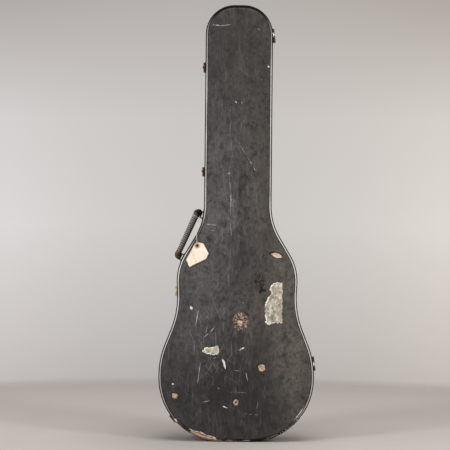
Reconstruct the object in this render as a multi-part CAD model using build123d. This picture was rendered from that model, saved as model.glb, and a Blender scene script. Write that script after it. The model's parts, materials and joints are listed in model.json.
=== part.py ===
from build123d import *

import math
import os

# Hard guitar case standing on its tail. Millimetres.
# X runs across the case: hinges on +X, latches and handle on -X.
# Y runs through its depth: the lid's face looks towards -Y, the base's back towards +Y.
# Z runs up along its length, from the tail's flat at z = 0 to the head.
# The origin is the middle of the tail's flat.

# ---- driving dimensions -------------------------------------------------
LENGTH = 1067.0                 # tail to head
DEPTH = 115.0                   # lid face to base back
LID_DEPTH = 40.0                # of which the lid takes this much
SEAM_GAP = 0.4                  # open line between the lid and the base

LOWER_BOUT = 190.0              # half-widths
WAIST = 144.0
UPPER_BOUT = 149.4
NECK = 82.6
HEAD = 82.0

# corners of the outline's right half as (x, z, corner radius)
OUTLINE_CORNERS = [
    (LOWER_BOUT, 0.0, 155.0),
    (LOWER_BOUT, 200.8, 200.0),
    (WAIST, 317.5, 215.0),
    (UPPER_BOUT, 424.5, 125.0),
    (NECK, 535.8, 150.0),
    (HEAD, LENGTH, 71.0),
]

COVER = 0.8                     # thickness of the leatherette
LID_WALL = 5.2                  # plywood wall of the lid
BASE_WALL = 6.0                 # plywood wall of the base, too thick to bend unless it is kerfed
KERF = 0.4                      # saw kerfs through the base's walls, where they bend in at the shoulders
KERF_HEIGHTS = (456.0, 474.0, 492.0, 510.0, 528.0, 546.0)
WELT_R = 2.5                    # round welt along both face edges
WELT_SEAT = 2.0 * WELT_R + 0.1  # width the welt takes from the face
FACE_RECESS = 0.3               # face covering below the welt's crown
BOARD_EDGE = 2.4                # thickness of the board over the wall
LINING = 4.0                    # plush pad on the boards
SIDE_LINING = 3.0               # plush on the walls
LIP = 2.5                       # locating lip inside the base wall
LIP_REACH = 6.0                 # how far the lip stands into the lid
LIP_FOOT = 23.0                 # how far it runs down the base wall
TAIL_STRIP_HALF = 120.0         # half-length of the covering strip round the tail

FACE_Y = -DEPTH / 2.0
BACK_Y = DEPTH / 2.0
SEAM_Y = FACE_Y + LID_DEPTH

# hinges: axis lies on the seam plane, just outside both bouts' common tangent
PIN_R = 1.2
PIN_CLEARANCE = 0.05
KNUCKLE_R = 2.6
KNUCKLE_GAP = 0.4               # between the knuckle and the wall, and between knuckles
HINGE_LENGTH = 34.0
HINGE_LEAF = 14.0
LEAF_THICKNESS = 1.2
HINGE_HEIGHTS = {"upper": 997.0, "lower": 190.0}
GLIDE_R = 5.2
GLIDE_HEIGHT = 4.6
GLIDE_WASHER_R = 6.5
BASE_GLIDE_Y = 25.0
LID_GLIDE_Y = -39.5

# latches, from the head to the tail
LATCH_HEIGHTS = {"head": 917.0, "neck": 660.0, "waist": 365.0, "tail": 54.0}
LATCH_HALF = 11.0               # half-length along the wall
LOCK_LOW = 3.1                  # height of the lock under the hasp
LOCK_HIGH = 5.0                 # height of the lock's housing
HASP_GAP = 0.5
HASP_THICKNESS = 1.6
BUTTON_TRAVEL = 5.0

# handle on the upper bout's shoulder
HANDLE_TOP_Z = 554.0
HANDLE_BOTTOM_Z = 446.5
HANDLE_Y = 8.0
HANDLE_AXIS_OFF = 7.0           # pivot line off the wall
GRIP_OUT = 22.0                 # outside of the grip off the wall
GRIP_THICK = 11.0
GRIP_HALF_WIDTH = 8.5
HANDLE_PIN_R = 1.95

# paper tag on a string
TAG_THICKNESS = 0.5
STRING_D = 1.2
TAG_HOLE = (-98.3, 478.7)
TAG_HOLE_R = 2.2
TAG_RING_R = 5.5
TAG_LEAN = 26.6                 # degrees, anticlockwise as seen from the front
# the tag's corners round its hole, before it leans
TAG_CORNERS = [
    (-1.5, 7.5),
    (6.0, 6.0),
    (16.0, -2.5),
    (17.5, -30.0),
    (5.5, -39.5),
    (-41.0, -39.5),
    (-40.0, -19.5),
]
# string from the handle over the lid's edge to the tag's hole
STRING_POINTS = [
    (-93.8, -10.5, 550.5),
    (-94.0, -22.5, 547.0),
    (-95.0, -38.0, 540.0),
    (-97.4, -54.0, 529.0),
    (-99.8, -63.0, 514.0),
    (-99.6, -64.2, 497.5),
    (-98.5, -60.6, 482.0),
]

# accessory compartment and neck cradle
TRAY_Z = (640.0, 800.0)
TRAY_HALF = 71.0
TRAY_TOP_Y = 12.0
TRAY_WALL = 4.0
TRAY_LID = 4.0
TRAY_HINGE_X = 64.0             # free edge of the compartment lid on its hinge side
CRADLE_Z = (588.0, 612.0)
CRADLE_TOP_Y = -8.0
NECK_NOTCH_HALF = 29.0
NECK_NOTCH_DEPTH = 27.0
NECK_NOTCH_CORNER = 10.0


# ---- outline and shared helpers -----------------------------------------
def make_outline():
    """Outline of the case in its own plane: sketch X is width, sketch Y is height."""
    right = [(x, z) for x, z, _ in OUTLINE_CORNERS]
    left = [(-x, z) for x, z in reversed(right)]
    face = make_face(Polyline(*right, *left, close=True))
    for x, z, radius in OUTLINE_CORNERS:
        corners = [v for v in face.vertices() if abs(abs(v.X) - x) < 0.01 and abs(v.Y - z) < 0.01]
        face = fillet(corners, radius)
    return face


OUTLINE = make_outline()


def inset(distance):
    """The outline moved inwards, or outwards for a negative distance."""
    return offset(OUTLINE, -distance) if distance else OUTLINE


def ring(outer, inner):
    """Band between two insets of the outline."""
    return inset(outer) - inset(inner)


def slab(sketch, y_low, y_high):
    """Sketch of the outline's plane, filled between two depths."""
    return extrude(Plane.XZ.offset(-y_high) * sketch, amount=y_high - y_low)


def block(x_range, y_range, z_range):
    """Box between three pairs of limits, whichever way round they are."""
    sizes = [abs(limits[1] - limits[0]) for limits in (x_range, y_range, z_range)]
    middle = [(limits[0] + limits[1]) / 2.0 for limits in (x_range, y_range, z_range)]
    return Pos(*middle) * Box(*sizes)


def half(side):
    """The whole space on one side of the case's middle plane."""
    reach = 400.0
    return block((0.0, side * reach), (-reach, reach), (-reach, LENGTH + reach))


def tail_zone():
    """The space round the tail that its own covering strip fills."""
    return block((-TAIL_STRIP_HALF, TAIL_STRIP_HALF), (-DEPTH, DEPTH), (-50.0, 60.0))


def wall_frame(height, side, depth=0.0):
    """Plane on the side wall: local x along the wall, y outward, z towards the back."""
    for edge in OUTLINE.edges():
        low, high = (edge @ 0), (edge @ 1)
        if (low.Y - height) * (high.Y - height) > 0 or (low.X + high.X) * side <= 0:
            continue
        a, b = 0.0, 1.0
        for _ in range(60):
            middle = (a + b) / 2.0
            if ((edge @ middle).Y - height) * (low.Y - height) > 0:
                a = middle
            else:
                b = middle
        point, along = edge @ a, edge % a
        outward = Vector(along.Y, 0, -along.X)
        if outward.X * side < 0:
            outward = -outward
        return Plane(Vector(point.X, depth, point.Y), x_dir=outward.cross(Vector(0, 1, 0)),
                     z_dir=(0, 1, 0))
    raise ValueError("no wall at this height")


def outward_axis(frame):
    """Line through a wall frame's origin, pointing away from the wall."""
    return Axis(frame.origin, frame.y_dir)


def wall_plate(frame, half_length, y_low, y_high, thickness, corner=2.0):
    """Sheet-metal plate that follows the wall, with rounded corners."""
    middle = (y_low + y_high) / 2.0
    face = RectangleRounded(2.0 * half_length, y_high - y_low, corner)
    local = Plane(frame.origin, x_dir=frame.x_dir, z_dir=frame.y_dir)
    shift = (middle - frame.origin.Y) * local.y_dir.Y
    cutter = local * Pos(0, shift, -20.0) * extrude(face, amount=40.0)
    return slab(ring(-thickness, 0.0), y_low, y_high) & cutter


def dome(frame, x, y, radius, height):
    """Low round head standing on a wall frame's surface at local x and depth y."""
    sphere_r = (radius ** 2 + height ** 2) / (2.0 * height)
    ball = Pos(0, 0, height - sphere_r) * Sphere(sphere_r)
    cap = ball & Pos(0, 0, height / 2.0) * Box(3 * radius, 3 * radius, height)
    local = Plane(frame.origin, x_dir=frame.x_dir, z_dir=frame.y_dir)
    shift = (y - frame.origin.Y) * local.y_dir.Y
    return local * Pos(x, shift, 0) * cap


# ---- shell: boards, walls, coverings and welts -----------------------------
def shell_half(sign, edge_y, seam_y, wall):
    """Board, walls, coverings and welt of the lid (sign -1) or the base (sign +1)."""
    def span(near, far):
        return (min(near, far), max(near, far))

    welt_y = edge_y - sign * WELT_R
    cover_y = edge_y - sign * FACE_RECESS
    board_y = cover_y - sign * COVER
    step_y = edge_y - sign * WELT_SEAT
    wall_y = step_y - sign * BOARD_EDGE

    path = (Plane.XZ.offset(-welt_y) * inset(WELT_R)).wire()
    section = Plane(path @ 0, z_dir=path % 0) * Circle(WELT_R)
    welt = sweep(section, path=path)

    board = slab(inset(WELT_SEAT), *span(board_y, step_y)) + slab(inset(COVER), *span(step_y, wall_y))
    walls = slab(ring(COVER, COVER + wall), *span(wall_y, seam_y))
    skin = slab(ring(0.0, COVER), *span(step_y, seam_y))
    return {
        "board": board,
        "wall_left": walls & half(-1),
        "wall_right": walls & half(1),
        "face_covering": slab(inset(WELT_SEAT), *span(cover_y, board_y)),
        "side_covering": skin - tail_zone(),
        "tail_covering": skin & tail_zone(),
        "edge_welt": welt,
        "lining": slab(inset(COVER + wall + 0.2), *span(wall_y, wall_y - sign * LINING)),
    }


def make_lid_shell():
    parts = shell_half(-1, FACE_Y, SEAM_Y - SEAM_GAP / 2.0, LID_WALL)
    inner = COVER + LID_WALL
    pad_y = FACE_Y + WELT_SEAT + BOARD_EDGE + LINING
    parts["side_lining"] = slab(ring(inner, inner + SIDE_LINING), pad_y, SEAM_Y - LIP_REACH - 2.5)
    return {"lid_" + name: shape for name, shape in parts.items()}


def make_base_shell():
    parts = shell_half(1, BACK_Y, SEAM_Y + SEAM_GAP / 2.0, BASE_WALL)
    parts["back_covering"] = parts.pop("face_covering")
    for height in KERF_HEIGHTS:
        cut = block((-DEPTH * 2.0, DEPTH * 2.0), (-DEPTH, DEPTH), (height, height + KERF))
        parts["wall_left"] -= cut
        parts["wall_right"] -= cut
    inner = COVER + BASE_WALL
    pad_y = BACK_Y - WELT_SEAT - BOARD_EDGE - LINING
    foot_y = SEAM_Y + LIP_FOOT
    lip = slab(ring(inner, inner + LIP), SEAM_Y - LIP_REACH, foot_y)
    parts["side_lining"] = slab(ring(inner, inner + SIDE_LINING), foot_y, pad_y)
    named = {"base_" + name: shape for name, shape in parts.items()}
    named["locating_lip_left"] = lip & half(-1)
    named["locating_lip_right"] = lip & half(1)
    return named


# ---- inside: neck cradle and accessory compartment --------------------------
def inner_floor_y():
    return BACK_Y - WELT_SEAT - BOARD_EDGE - LINING


def make_neck_cradle():
    """Padded block across the neck with a round-bottomed notch for the guitar's neck."""
    body = block((-TRAY_HALF, TRAY_HALF), (CRADLE_TOP_Y, inner_floor_y()), CRADLE_Z)
    notch_floor = CRADLE_TOP_Y + NECK_NOTCH_DEPTH
    notch = block((-NECK_NOTCH_HALF, NECK_NOTCH_HALF), (CRADLE_TOP_Y - 5.0, notch_floor), CRADLE_Z)
    notch = fillet(notch.edges().filter_by(Axis.Z).group_by(Axis.Y)[-1], NECK_NOTCH_CORNER)
    return body - notch


def make_accessory_tray():
    """Open box under the neck, with a fixed rail along its hinge side."""
    outer = block((-TRAY_HALF, TRAY_HALF), (TRAY_TOP_Y, inner_floor_y()), TRAY_Z)
    low_z, high_z = TRAY_Z
    hollow = block((-TRAY_HALF + TRAY_WALL, TRAY_HALF - TRAY_WALL),
                   (TRAY_TOP_Y - 1.0, inner_floor_y() - TRAY_WALL),
                   (low_z + TRAY_WALL, high_z - TRAY_WALL))
    rail = block((TRAY_HINGE_X + 0.8, TRAY_HALF), (TRAY_TOP_Y - TRAY_LID, TRAY_TOP_Y), TRAY_Z)
    return outer - hollow + rail


def make_accessory_lid():
    low_z, high_z = TRAY_Z
    board = block((-TRAY_HALF + 0.5, TRAY_HINGE_X), (TRAY_TOP_Y - 0.3 - TRAY_LID, TRAY_TOP_Y - 0.3),
                  (low_z + 0.5, high_z - 0.5))
    return fillet(board.edges().filter_by(Axis.Z).group_by(Axis.Y)[0], 1.2)


def make_pull_tab():
    """Short ribbon on the compartment lid's free edge."""
    middle_z = sum(TRAY_Z) / 2.0
    top_y = TRAY_TOP_Y - 0.3 - TRAY_LID
    return block((-TRAY_HALF + 2.0, -TRAY_HALF + 32.0), (top_y - 1.4, top_y - 0.4),
                 (middle_z - 8.0, middle_z + 8.0))


# ---- hinges -----------------------------------------------------------------
def tangent_line():
    """Angle and normal distance of the line that touches the lower bout and the head."""
    head_r = OUTLINE_CORNERS[-1][2]
    bout_r = OUTLINE_CORNERS[1][2]
    side_slope = math.atan2(LOWER_BOUT - WAIST, OUTLINE_CORNERS[2][1] - OUTLINE_CORNERS[1][1])
    bout_z = OUTLINE_CORNERS[1][1] - bout_r * math.tan(side_slope / 2.0)
    bout = (LOWER_BOUT - bout_r, bout_z)
    head = (HEAD - head_r, LENGTH - head_r)
    dx, dz = head[0] - bout[0], head[1] - bout[1]
    angle = math.atan2(dz, dx) - math.acos((bout_r - head_r) / math.hypot(dx, dz))
    distance = bout[0] * math.cos(angle) + bout[1] * math.sin(angle) + bout_r
    return angle, distance


HINGE_ANGLE, TANGENT_DISTANCE = tangent_line()
HINGE_OFF = KNUCKLE_R + KNUCKLE_GAP


def hinge_plane(height):
    """Plane on the hinge axis: local z up the axis, local x outward from the case."""
    cosine, sine = math.cos(HINGE_ANGLE), math.sin(HINGE_ANGLE)
    reach = TANGENT_DISTANCE + HINGE_OFF
    x = (reach - height * sine) / cosine
    return Plane(Vector(x, SEAM_Y, height), x_dir=(cosine, 0, sine), z_dir=(-sine, 0, cosine))


def hinge_leaf(height, side, knuckle_spans, other_spans):
    """One leaf of a hinge: side -1 is the lid's, +1 the base's."""
    frame = hinge_plane(height)
    wall = wall_frame(height, 1, SEAM_Y)
    near = SEAM_Y + side * (SEAM_GAP / 2.0 + 0.1)
    far = SEAM_Y + side * HINGE_LEAF
    leaf = wall_plate(wall, HINGE_LENGTH / 2.0, min(near, far), max(near, far), LEAF_THICKNESS)
    for low, high in knuckle_spans:
        length = high - low
        barrel = frame * Pos(0, 0, (low + high) / 2.0) * Cylinder(KNUCKLE_R, length)
        web = frame * block((-HINGE_OFF - 3.5, -0.4), (side * 0.3, side * 2.4), (low, high))
        leaf = leaf + barrel + (web - slab(inset(0.0), -DEPTH, DEPTH))
    leaf = leaf - frame * Cylinder(PIN_R + PIN_CLEARANCE, HINGE_LENGTH * 1.5)
    for low, high in other_spans:
        room = frame * Pos(0, 0, (low + high) / 2.0)
        leaf = leaf - room * Cylinder(KNUCKLE_R + KNUCKLE_GAP, high - low + 2.0 * KNUCKLE_GAP)
    return leaf


def make_hinges():
    """Two hinges, each with a base leaf, a lid leaf and a pin with rounded ends."""
    parts = {}
    half_knuckle = HINGE_LENGTH / 6.0
    end = HINGE_LENGTH / 2.0
    middle = [(-half_knuckle, half_knuckle)]
    ends = [(-end, -half_knuckle - KNUCKLE_GAP), (half_knuckle + KNUCKLE_GAP, end)]
    for name, height in HINGE_HEIGHTS.items():
        parts[f"hinge_{name}_base_leaf"] = hinge_leaf(height, 1, ends, middle)
        parts[f"hinge_{name}_lid_leaf"] = hinge_leaf(height, -1, middle, ends)
        pin = Cylinder(PIN_R, HINGE_LENGTH + 3.0)
        pin = fillet(pin.edges().filter_by(GeomType.CIRCLE), PIN_R * 0.6)
        parts[f"hinge_{name}_pin"] = hinge_plane(height) * pin
    return parts


def make_side_glides(depth_y):
    """Domed metal glides on one half's hinge side, which the case rests on when it is set down."""
    glides = []
    for height in HINGE_HEIGHTS.values():
        frame = wall_frame(height, 1, 0.0)
        washer = wall_plate(frame, GLIDE_WASHER_R, depth_y - GLIDE_WASHER_R, depth_y + GLIDE_WASHER_R, 0.8,
                            corner=GLIDE_WASHER_R - 0.1)
        cap = dome(frame, 0.0, depth_y, GLIDE_R, GLIDE_HEIGHT)
        glides.append(washer + (cap - slab(inset(0.0), -DEPTH, DEPTH)))
    return Compound(children=glides)


# ---- latches ------------------------------------------------------------------
HASP_PIVOT_Y = SEAM_Y - 12.0    # depth of the hasp's pivot line
HASP_PIVOT_OFF = 3.2            # pivot line off the wall
HASP_KNUCKLE_R = 2.2
HASP_PIN_R = 1.1
HASP_BARREL_HALF = LATCH_HALF - 4.4
PLATE_THICKNESS = 1.4           # of the hasp's plate on the lid
PLATE_REACH = 17.0              # from the pivot line towards the face
OUTER_KNUCKLE = 3.6             # length of the plate's two knuckles
LOCK_SPAN = (SEAM_Y + 1.0, SEAM_Y + 27.0)
LOCK_STEP = 16.0                # length of the lock's low part
LOCK_ROOT = -4.0                # fittings start this far inside the wall, which then trims them
MOUTH_HALF = 4.3                # opening for the hasp's tongue
MOUTH_LENGTH = 11.5
MOUTH_FLOOR = 0.6
BUTTON_Y = SEAM_Y + 21.5
BUTTON_HALF = (3.0, 2.3)        # along the wall and through the depth
BUTTON_SPAN = (2.7, 7.6)        # foot and top off the wall
BUTTON_ROOM = 0.4
HASP_ARM_HALF = 8.6
HASP_TONGUE_HALF = 3.4


def in_latch(frame, x_range, off_range, y_range):
    """Box in a latch's own frame: along the wall, off the wall, and through the depth."""
    return frame * block(x_range, off_range, y_range)


def make_lock(frame):
    """Pressed lock body: low under the hasp, higher round the button, open towards the lid."""
    low_end, high_end = LOCK_SPAN
    width = (-LATCH_HALF, LATCH_HALF)
    low = in_latch(frame, width, (LOCK_ROOT, LOCK_LOW), LOCK_SPAN)
    high = in_latch(frame, width, (LOCK_ROOT, LOCK_HIGH), (low_end + LOCK_STEP, high_end))
    body = low + high
    body = fillet(body.edges().filter_by(outward_axis(frame)).sort_by(Axis.Y)[-2:], 4.0)
    mouth = in_latch(frame, (-MOUTH_HALF, MOUTH_HALF), (MOUTH_FLOOR, LOCK_LOW + 1.0),
                     (low_end - 1.0, low_end + MOUTH_LENGTH))
    slot_x = BUTTON_HALF[0] + BUTTON_TRAVEL / 2.0 + BUTTON_ROOM
    slot_y = BUTTON_HALF[1] + BUTTON_ROOM
    slot = in_latch(frame, (-slot_x, slot_x), (BUTTON_SPAN[0] - 0.3, LOCK_HIGH + 1.0),
                    (BUTTON_Y - slot_y, BUTTON_Y + slot_y))
    return body - mouth - slot - slab(inset(0.0), -DEPTH, DEPTH)


def make_button(frame):
    """Thumb button that slides along the wall to let the hasp go."""
    rest = -BUTTON_TRAVEL / 2.0
    long_half, deep_half = BUTTON_HALF
    stem = in_latch(frame, (rest - long_half, rest + long_half), BUTTON_SPAN,
                    (BUTTON_Y - deep_half, BUTTON_Y + deep_half))
    return fillet(stem.faces().sort_by(outward_axis(frame))[-1].edges(), 1.2)


def make_hasp_plate(frame):
    """Plate riveted to the lid, with the outer knuckles and the hasp's pin."""
    far = HASP_PIVOT_Y - PLATE_REACH
    plate = wall_plate(frame, LATCH_HALF, far, HASP_PIVOT_Y + 2.0, PLATE_THICKNESS)
    room = Rot(0, 90, 0) * Cylinder(HASP_KNUCKLE_R + 0.5, 2.0 * HASP_BARREL_HALF + 0.8)
    plate = plate - frame * Pos(0, HASP_PIVOT_OFF, HASP_PIVOT_Y) * room
    for sign in (-1, 1):
        barrel = Rot(0, 90, 0) * Cylinder(HASP_KNUCKLE_R, OUTER_KNUCKLE)
        place = sign * (LATCH_HALF - OUTER_KNUCKLE / 2.0)
        plate = plate + frame * Pos(place, HASP_PIVOT_OFF, HASP_PIVOT_Y) * barrel
        foot = in_latch(frame, (sign * (LATCH_HALF - OUTER_KNUCKLE), sign * LATCH_HALF),
                        (-1.5, HASP_PIVOT_OFF), (HASP_PIVOT_Y - 1.6, HASP_PIVOT_Y + 1.6))
        plate = plate + (foot - slab(inset(0.0), -DEPTH, DEPTH))
    pin = Rot(0, 90, 0) * Cylinder(HASP_PIN_R, 2.0 * LATCH_HALF)
    return plate + frame * Pos(0, HASP_PIVOT_OFF, HASP_PIVOT_Y) * pin


def make_hasp(frame):
    """Tongued hasp: knuckle on the pin, flat arm over the lock and a tongue in its mouth."""
    width = HASP_BARREL_HALF
    under = LOCK_LOW + HASP_GAP
    over = under + HASP_THICKNESS
    low_end = LOCK_SPAN[0]
    arm = in_latch(frame, (-HASP_ARM_HALF, HASP_ARM_HALF), (under, over),
                   (HASP_PIVOT_Y + 3.4, low_end + LOCK_STEP - 2.0))
    arm = fillet(arm.edges().filter_by(outward_axis(frame)).sort_by(Axis.Y)[-2:], 5.5)
    neck = in_latch(frame, (-width, width), (under, over), (HASP_PIVOT_Y, HASP_PIVOT_Y + 4.0))
    pivot = frame * Pos(0, HASP_PIVOT_OFF, HASP_PIVOT_Y) * Rot(0, 90, 0)
    barrel = pivot * Cylinder(HASP_KNUCKLE_R, 2.0 * width)
    bore = pivot * Cylinder(HASP_PIN_R + PIN_CLEARANCE, 3.0 * LATCH_HALF)
    tongue = in_latch(frame, (-HASP_TONGUE_HALF, HASP_TONGUE_HALF), (1.3, under + 0.2),
                      (low_end + 5.0, low_end + 9.0))
    return arm + neck + barrel + tongue - bore


def make_latches():
    parts = {}
    for name, height in LATCH_HEIGHTS.items():
        frame = wall_frame(height, -1, 0.0)
        parts[f"latch_{name}_lock"] = make_lock(frame)
        parts[f"latch_{name}_button"] = make_button(frame)
        parts[f"latch_{name}_plate"] = make_hasp_plate(frame)
        parts[f"latch_{name}_hasp"] = make_hasp(frame)
    return parts


# ---- handle ---------------------------------------------------------------------
def handle_frame():
    """Plane on the chord between both brackets: local x down the chord, local y outward."""
    top = wall_frame(HANDLE_TOP_Z, -1, HANDLE_Y).origin
    bottom = wall_frame(HANDLE_BOTTOM_Z, -1, HANDLE_Y).origin
    return Plane(top, x_dir=bottom - top, z_dir=(0, 1, 0)), (bottom - top).length


HANDLE_FRAME, HANDLE_SPAN = handle_frame()
LOOP_HALF = 5.4                 # half-length of each end loop on its pin
LOOP_R = 3.4
LUG = 3.0
LEG_MIDDLE = 1.5                # the legs stand this far inside the chord's ends
GRIP_UNDER = 9.0                # lowest point of the legs off the chord
BRACKET_PLATE = (13.0, 11.0, 1.5, 4.0)  # half-length, half-depth, thickness and corner
TAB_HALF = (0.8, 3.2)           # half-thickness and half-width of the loops' tabs
TAB_TOP = 16.0
STRING_LOOP_FROM = 11.2         # along the chord


def leg_places():
    return (LEG_MIDDLE, HANDLE_SPAN - LEG_MIDDLE)


def along_chord(radius, low, high):
    """Cylinder round the handle's pivot line."""
    cylinder = Rot(0, 90, 0) * Cylinder(radius, high - low)
    return HANDLE_FRAME * Pos((low + high) / 2.0, HANDLE_AXIS_OFF, 0) * cylinder


def make_handle_bracket(place, wall_height):
    """Plate on the wall with two lugs and the pin that the handle's end turns on."""
    long_half, deep_half, thickness, corner = BRACKET_PLATE
    bracket = wall_plate(wall_frame(wall_height, -1, HANDLE_Y), long_half,
                         HANDLE_Y - deep_half, HANDLE_Y + deep_half, thickness, corner)
    for sign in (-1, 1):
        near = place + sign * (LOOP_HALF + 0.5)
        far = near + sign * LUG
        leg = block((near, far), (-9.0, HANDLE_AXIS_OFF), (-LOOP_R, LOOP_R))
        lug = HANDLE_FRAME * leg + along_chord(LOOP_R, min(near, far), max(near, far))
        bracket = bracket + (lug - slab(inset(0.0), -DEPTH, DEPTH))
    reach = LOOP_HALF + 0.5 + LUG
    return bracket + along_chord(HANDLE_PIN_R, place - reach, place + reach)


def tab_block(place, start):
    """The space of a loop's tab, from a distance off the chord."""
    thin, wide = TAB_HALF
    return HANDLE_FRAME * block((place - thin, place + thin), (start, TAB_TOP), (-wide, wide))


def make_end_loop(place):
    """Metal loop round the bracket's pin, with a tab that runs up inside the grip's leg."""
    loop = along_chord(LOOP_R, place - LOOP_HALF, place + LOOP_HALF)
    tab = tab_block(place, HANDLE_AXIS_OFF)
    bore = along_chord(HANDLE_PIN_R + PIN_CLEARANCE, place - 2 * LOOP_HALF, place + 2 * LOOP_HALF)
    return loop + tab - bore


def grip_profile(low_n):
    """Section of the grip above a distance off the chord: x through the depth, y off the chord."""
    under, wide_n = 5.0, 13.0
    share = (low_n - GRIP_UNDER) / (wide_n - GRIP_UNDER)
    foot = under + (GRIP_HALF_WIDTH - under) * share
    low = Line((-foot, low_n), (foot, low_n))
    right = Line((foot, low_n), (GRIP_HALF_WIDTH, wide_n))
    over = ThreePointArc((GRIP_HALF_WIDTH, wide_n), (0.0, GRIP_OUT), (-GRIP_HALF_WIDTH, wide_n))
    left = Line((-GRIP_HALF_WIDTH, wide_n), (-foot, low_n))
    return make_face(low + right + over + left)


def along_grip(section, low, high):
    """A section of the grip, filled between two places along the chord."""
    across = Plane(HANDLE_FRAME.origin, x_dir=(0, 1, 0), z_dir=HANDLE_FRAME.x_dir)
    turn = 180.0 if across.y_dir.dot(HANDLE_FRAME.y_dir) < 0 else 0.0
    return across * Rot(0, 0, turn) * Pos(0, 0, low) * extrude(section, amount=high - low)


def make_grip():
    """Leather grip: a bar with two short legs, rounded outside and narrower towards the wall."""
    start, end = leg_places()
    middle_off = GRIP_OUT - GRIP_THICK / 2.0
    line = FilletPolyline((start, GRIP_UNDER), (start, middle_off), (end, middle_off),
                          (end, GRIP_UNDER), radius=6.0)
    band = offset(line.wire(), GRIP_THICK / 2.0, side=Side.BOTH, kind=Kind.ARC)
    side_view = HANDLE_FRAME * extrude(make_face(band), amount=15.0, both=True)
    spare = 40.0
    end_view = along_grip(grip_profile(GRIP_UNDER), -spare, HANDLE_SPAN + spare)
    grip = side_view & end_view
    for place in leg_places():
        grip = grip - tab_block(place, 0.0)
        grip = grip - along_chord(LOOP_R + 0.2, place - LOOP_HALF - LUG, place + LOOP_HALF + LUG)
    return grip


def make_string_loop():
    """Turn of the tag's string round the grip, near its upper end."""
    section = grip_profile(GRIP_OUT - GRIP_THICK)
    outer = offset(section, 0.15 + STRING_D)
    inner = offset(section, 0.15)
    return along_grip(outer - inner, STRING_LOOP_FROM, STRING_LOOP_FROM + STRING_D)


def make_handle():
    start, end = leg_places()
    return {
        "handle_grip": make_grip(),
        "handle_loop_upper": make_end_loop(start),
        "handle_loop_lower": make_end_loop(end),
        "handle_bracket_upper": make_handle_bracket(start, HANDLE_TOP_Z),
        "handle_bracket_lower": make_handle_bracket(end, HANDLE_BOTTOM_Z),
        "tag_string_loop": make_string_loop(),
    }


# ---- rivets -----------------------------------------------------------------------
RIVET_R = 1.9
RIVET_HEIGHT = 1.1
RIVET_SEAT = 0.3                # of its head that sinks into the plate


def rivet(frame, x, y, plate):
    """Domed rivet head seated on a plate of the given thickness."""
    head = dome(frame, x, y, RIVET_R, RIVET_HEIGHT + RIVET_SEAT)
    seated = head.moved(Location(frame.y_dir * (plate - RIVET_SEAT)))
    return seated - slab(inset(-plate), -DEPTH, DEPTH)


def make_rivets():
    """Rivet heads on the metal fittings: one group on the lid and one on the base."""
    lid, base = [], []
    for height in HINGE_HEIGHTS.values():
        frame = wall_frame(height, 1, SEAM_Y)
        for x in (-11.0, 0.0, 11.0):
            lid.append(rivet(frame, x, SEAM_Y - 9.5, LEAF_THICKNESS))
            base.append(rivet(frame, x, SEAM_Y + 9.5, LEAF_THICKNESS))
    for height in LATCH_HEIGHTS.values():
        frame = wall_frame(height, -1, 0.0)
        for x in (-6.5, 6.5):
            lid.append(rivet(frame, x, HASP_PIVOT_Y - 11.5, PLATE_THICKNESS))
    return {"lid_rivets": lid, "base_rivets": base}


# ---- paper tag --------------------------------------------------------------------
def make_tag():
    """Paper tag lying on the lid's face, worn to an uneven outline, with a ring round its hole."""
    hole_x, hole_z = TAG_HOLE
    outline = make_face(Polyline(*TAG_CORNERS, close=True))
    tag = Pos(hole_x, hole_z, 0) * Rot(0, 0, TAG_LEAN) * (outline - Circle(TAG_HOLE_R))
    ring_face = Pos(hole_x, hole_z, 0) * (Circle(TAG_RING_R) - Circle(TAG_HOLE_R))
    back = FACE_Y + FACE_RECESS - 0.6
    tag_front = back - TAG_THICKNESS
    return {
        "paper_tag": slab(tag, tag_front, back),
        "tag_ring": slab(ring_face, tag_front - 0.3, tag_front),
    }


def string_radii():
    """Bend radius at each inner point: 0.45 of the shorter run over the tangent of half the turn."""
    points = [Vector(*point) for point in STRING_POINTS]
    radii = []
    for before, here, after in zip(points, points[1:], points[2:]):
        run_in, run_out = here - before, after - here
        turn = math.radians(run_in.get_angle(run_out))
        radii.append(0.45 * min(run_in.length, run_out.length) / math.tan(turn / 2.0))
    return radii


def make_string():
    path = FilletPolyline(*STRING_POINTS, radius=string_radii()).wire()
    section = Plane(path @ 0, z_dir=path % 0) * Circle(STRING_D / 2.0)
    string = sweep(section, path=path)
    ratio = string.volume / (math.pi * STRING_D ** 2 / 4.0 * path.length)
    print("string radii", [round(radius, 1) for radius in string_radii()])
    print("string length", round(path.length, 1), "volume ratio", round(ratio, 4))
    return string


# ---- write every piece ---------------------------------------------------------------
def main():
    parts = {}
    parts.update(make_lid_shell())
    parts.update(make_base_shell())
    parts["neck_cradle"] = make_neck_cradle()
    parts["accessory_tray"] = make_accessory_tray()
    parts["accessory_lid"] = make_accessory_lid()
    parts["accessory_pull_tab"] = make_pull_tab()
    parts.update(make_hinges())
    parts["base_side_glides"] = make_side_glides(BASE_GLIDE_Y)
    parts["lid_side_glides"] = make_side_glides(LID_GLIDE_Y)
    parts.update(make_latches())
    parts.update(make_handle())
    parts.update({name: Compound(children=heads) for name, heads in make_rivets().items()})
    parts.update(make_tag())
    parts["tag_string"] = make_string()

    os.makedirs("parts", exist_ok=True)
    for old in os.listdir("parts"):
        os.remove(os.path.join("parts", old))
    for name, shape in parts.items():
        export_step(shape, f"parts/{name}.step")
    print(len(parts), "parts written")


main()
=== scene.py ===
import json
import math

import bmesh
import bpy
import numpy as np
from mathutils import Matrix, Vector, kdtree
from mathutils.geometry import delaunay_2d_cdt


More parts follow.
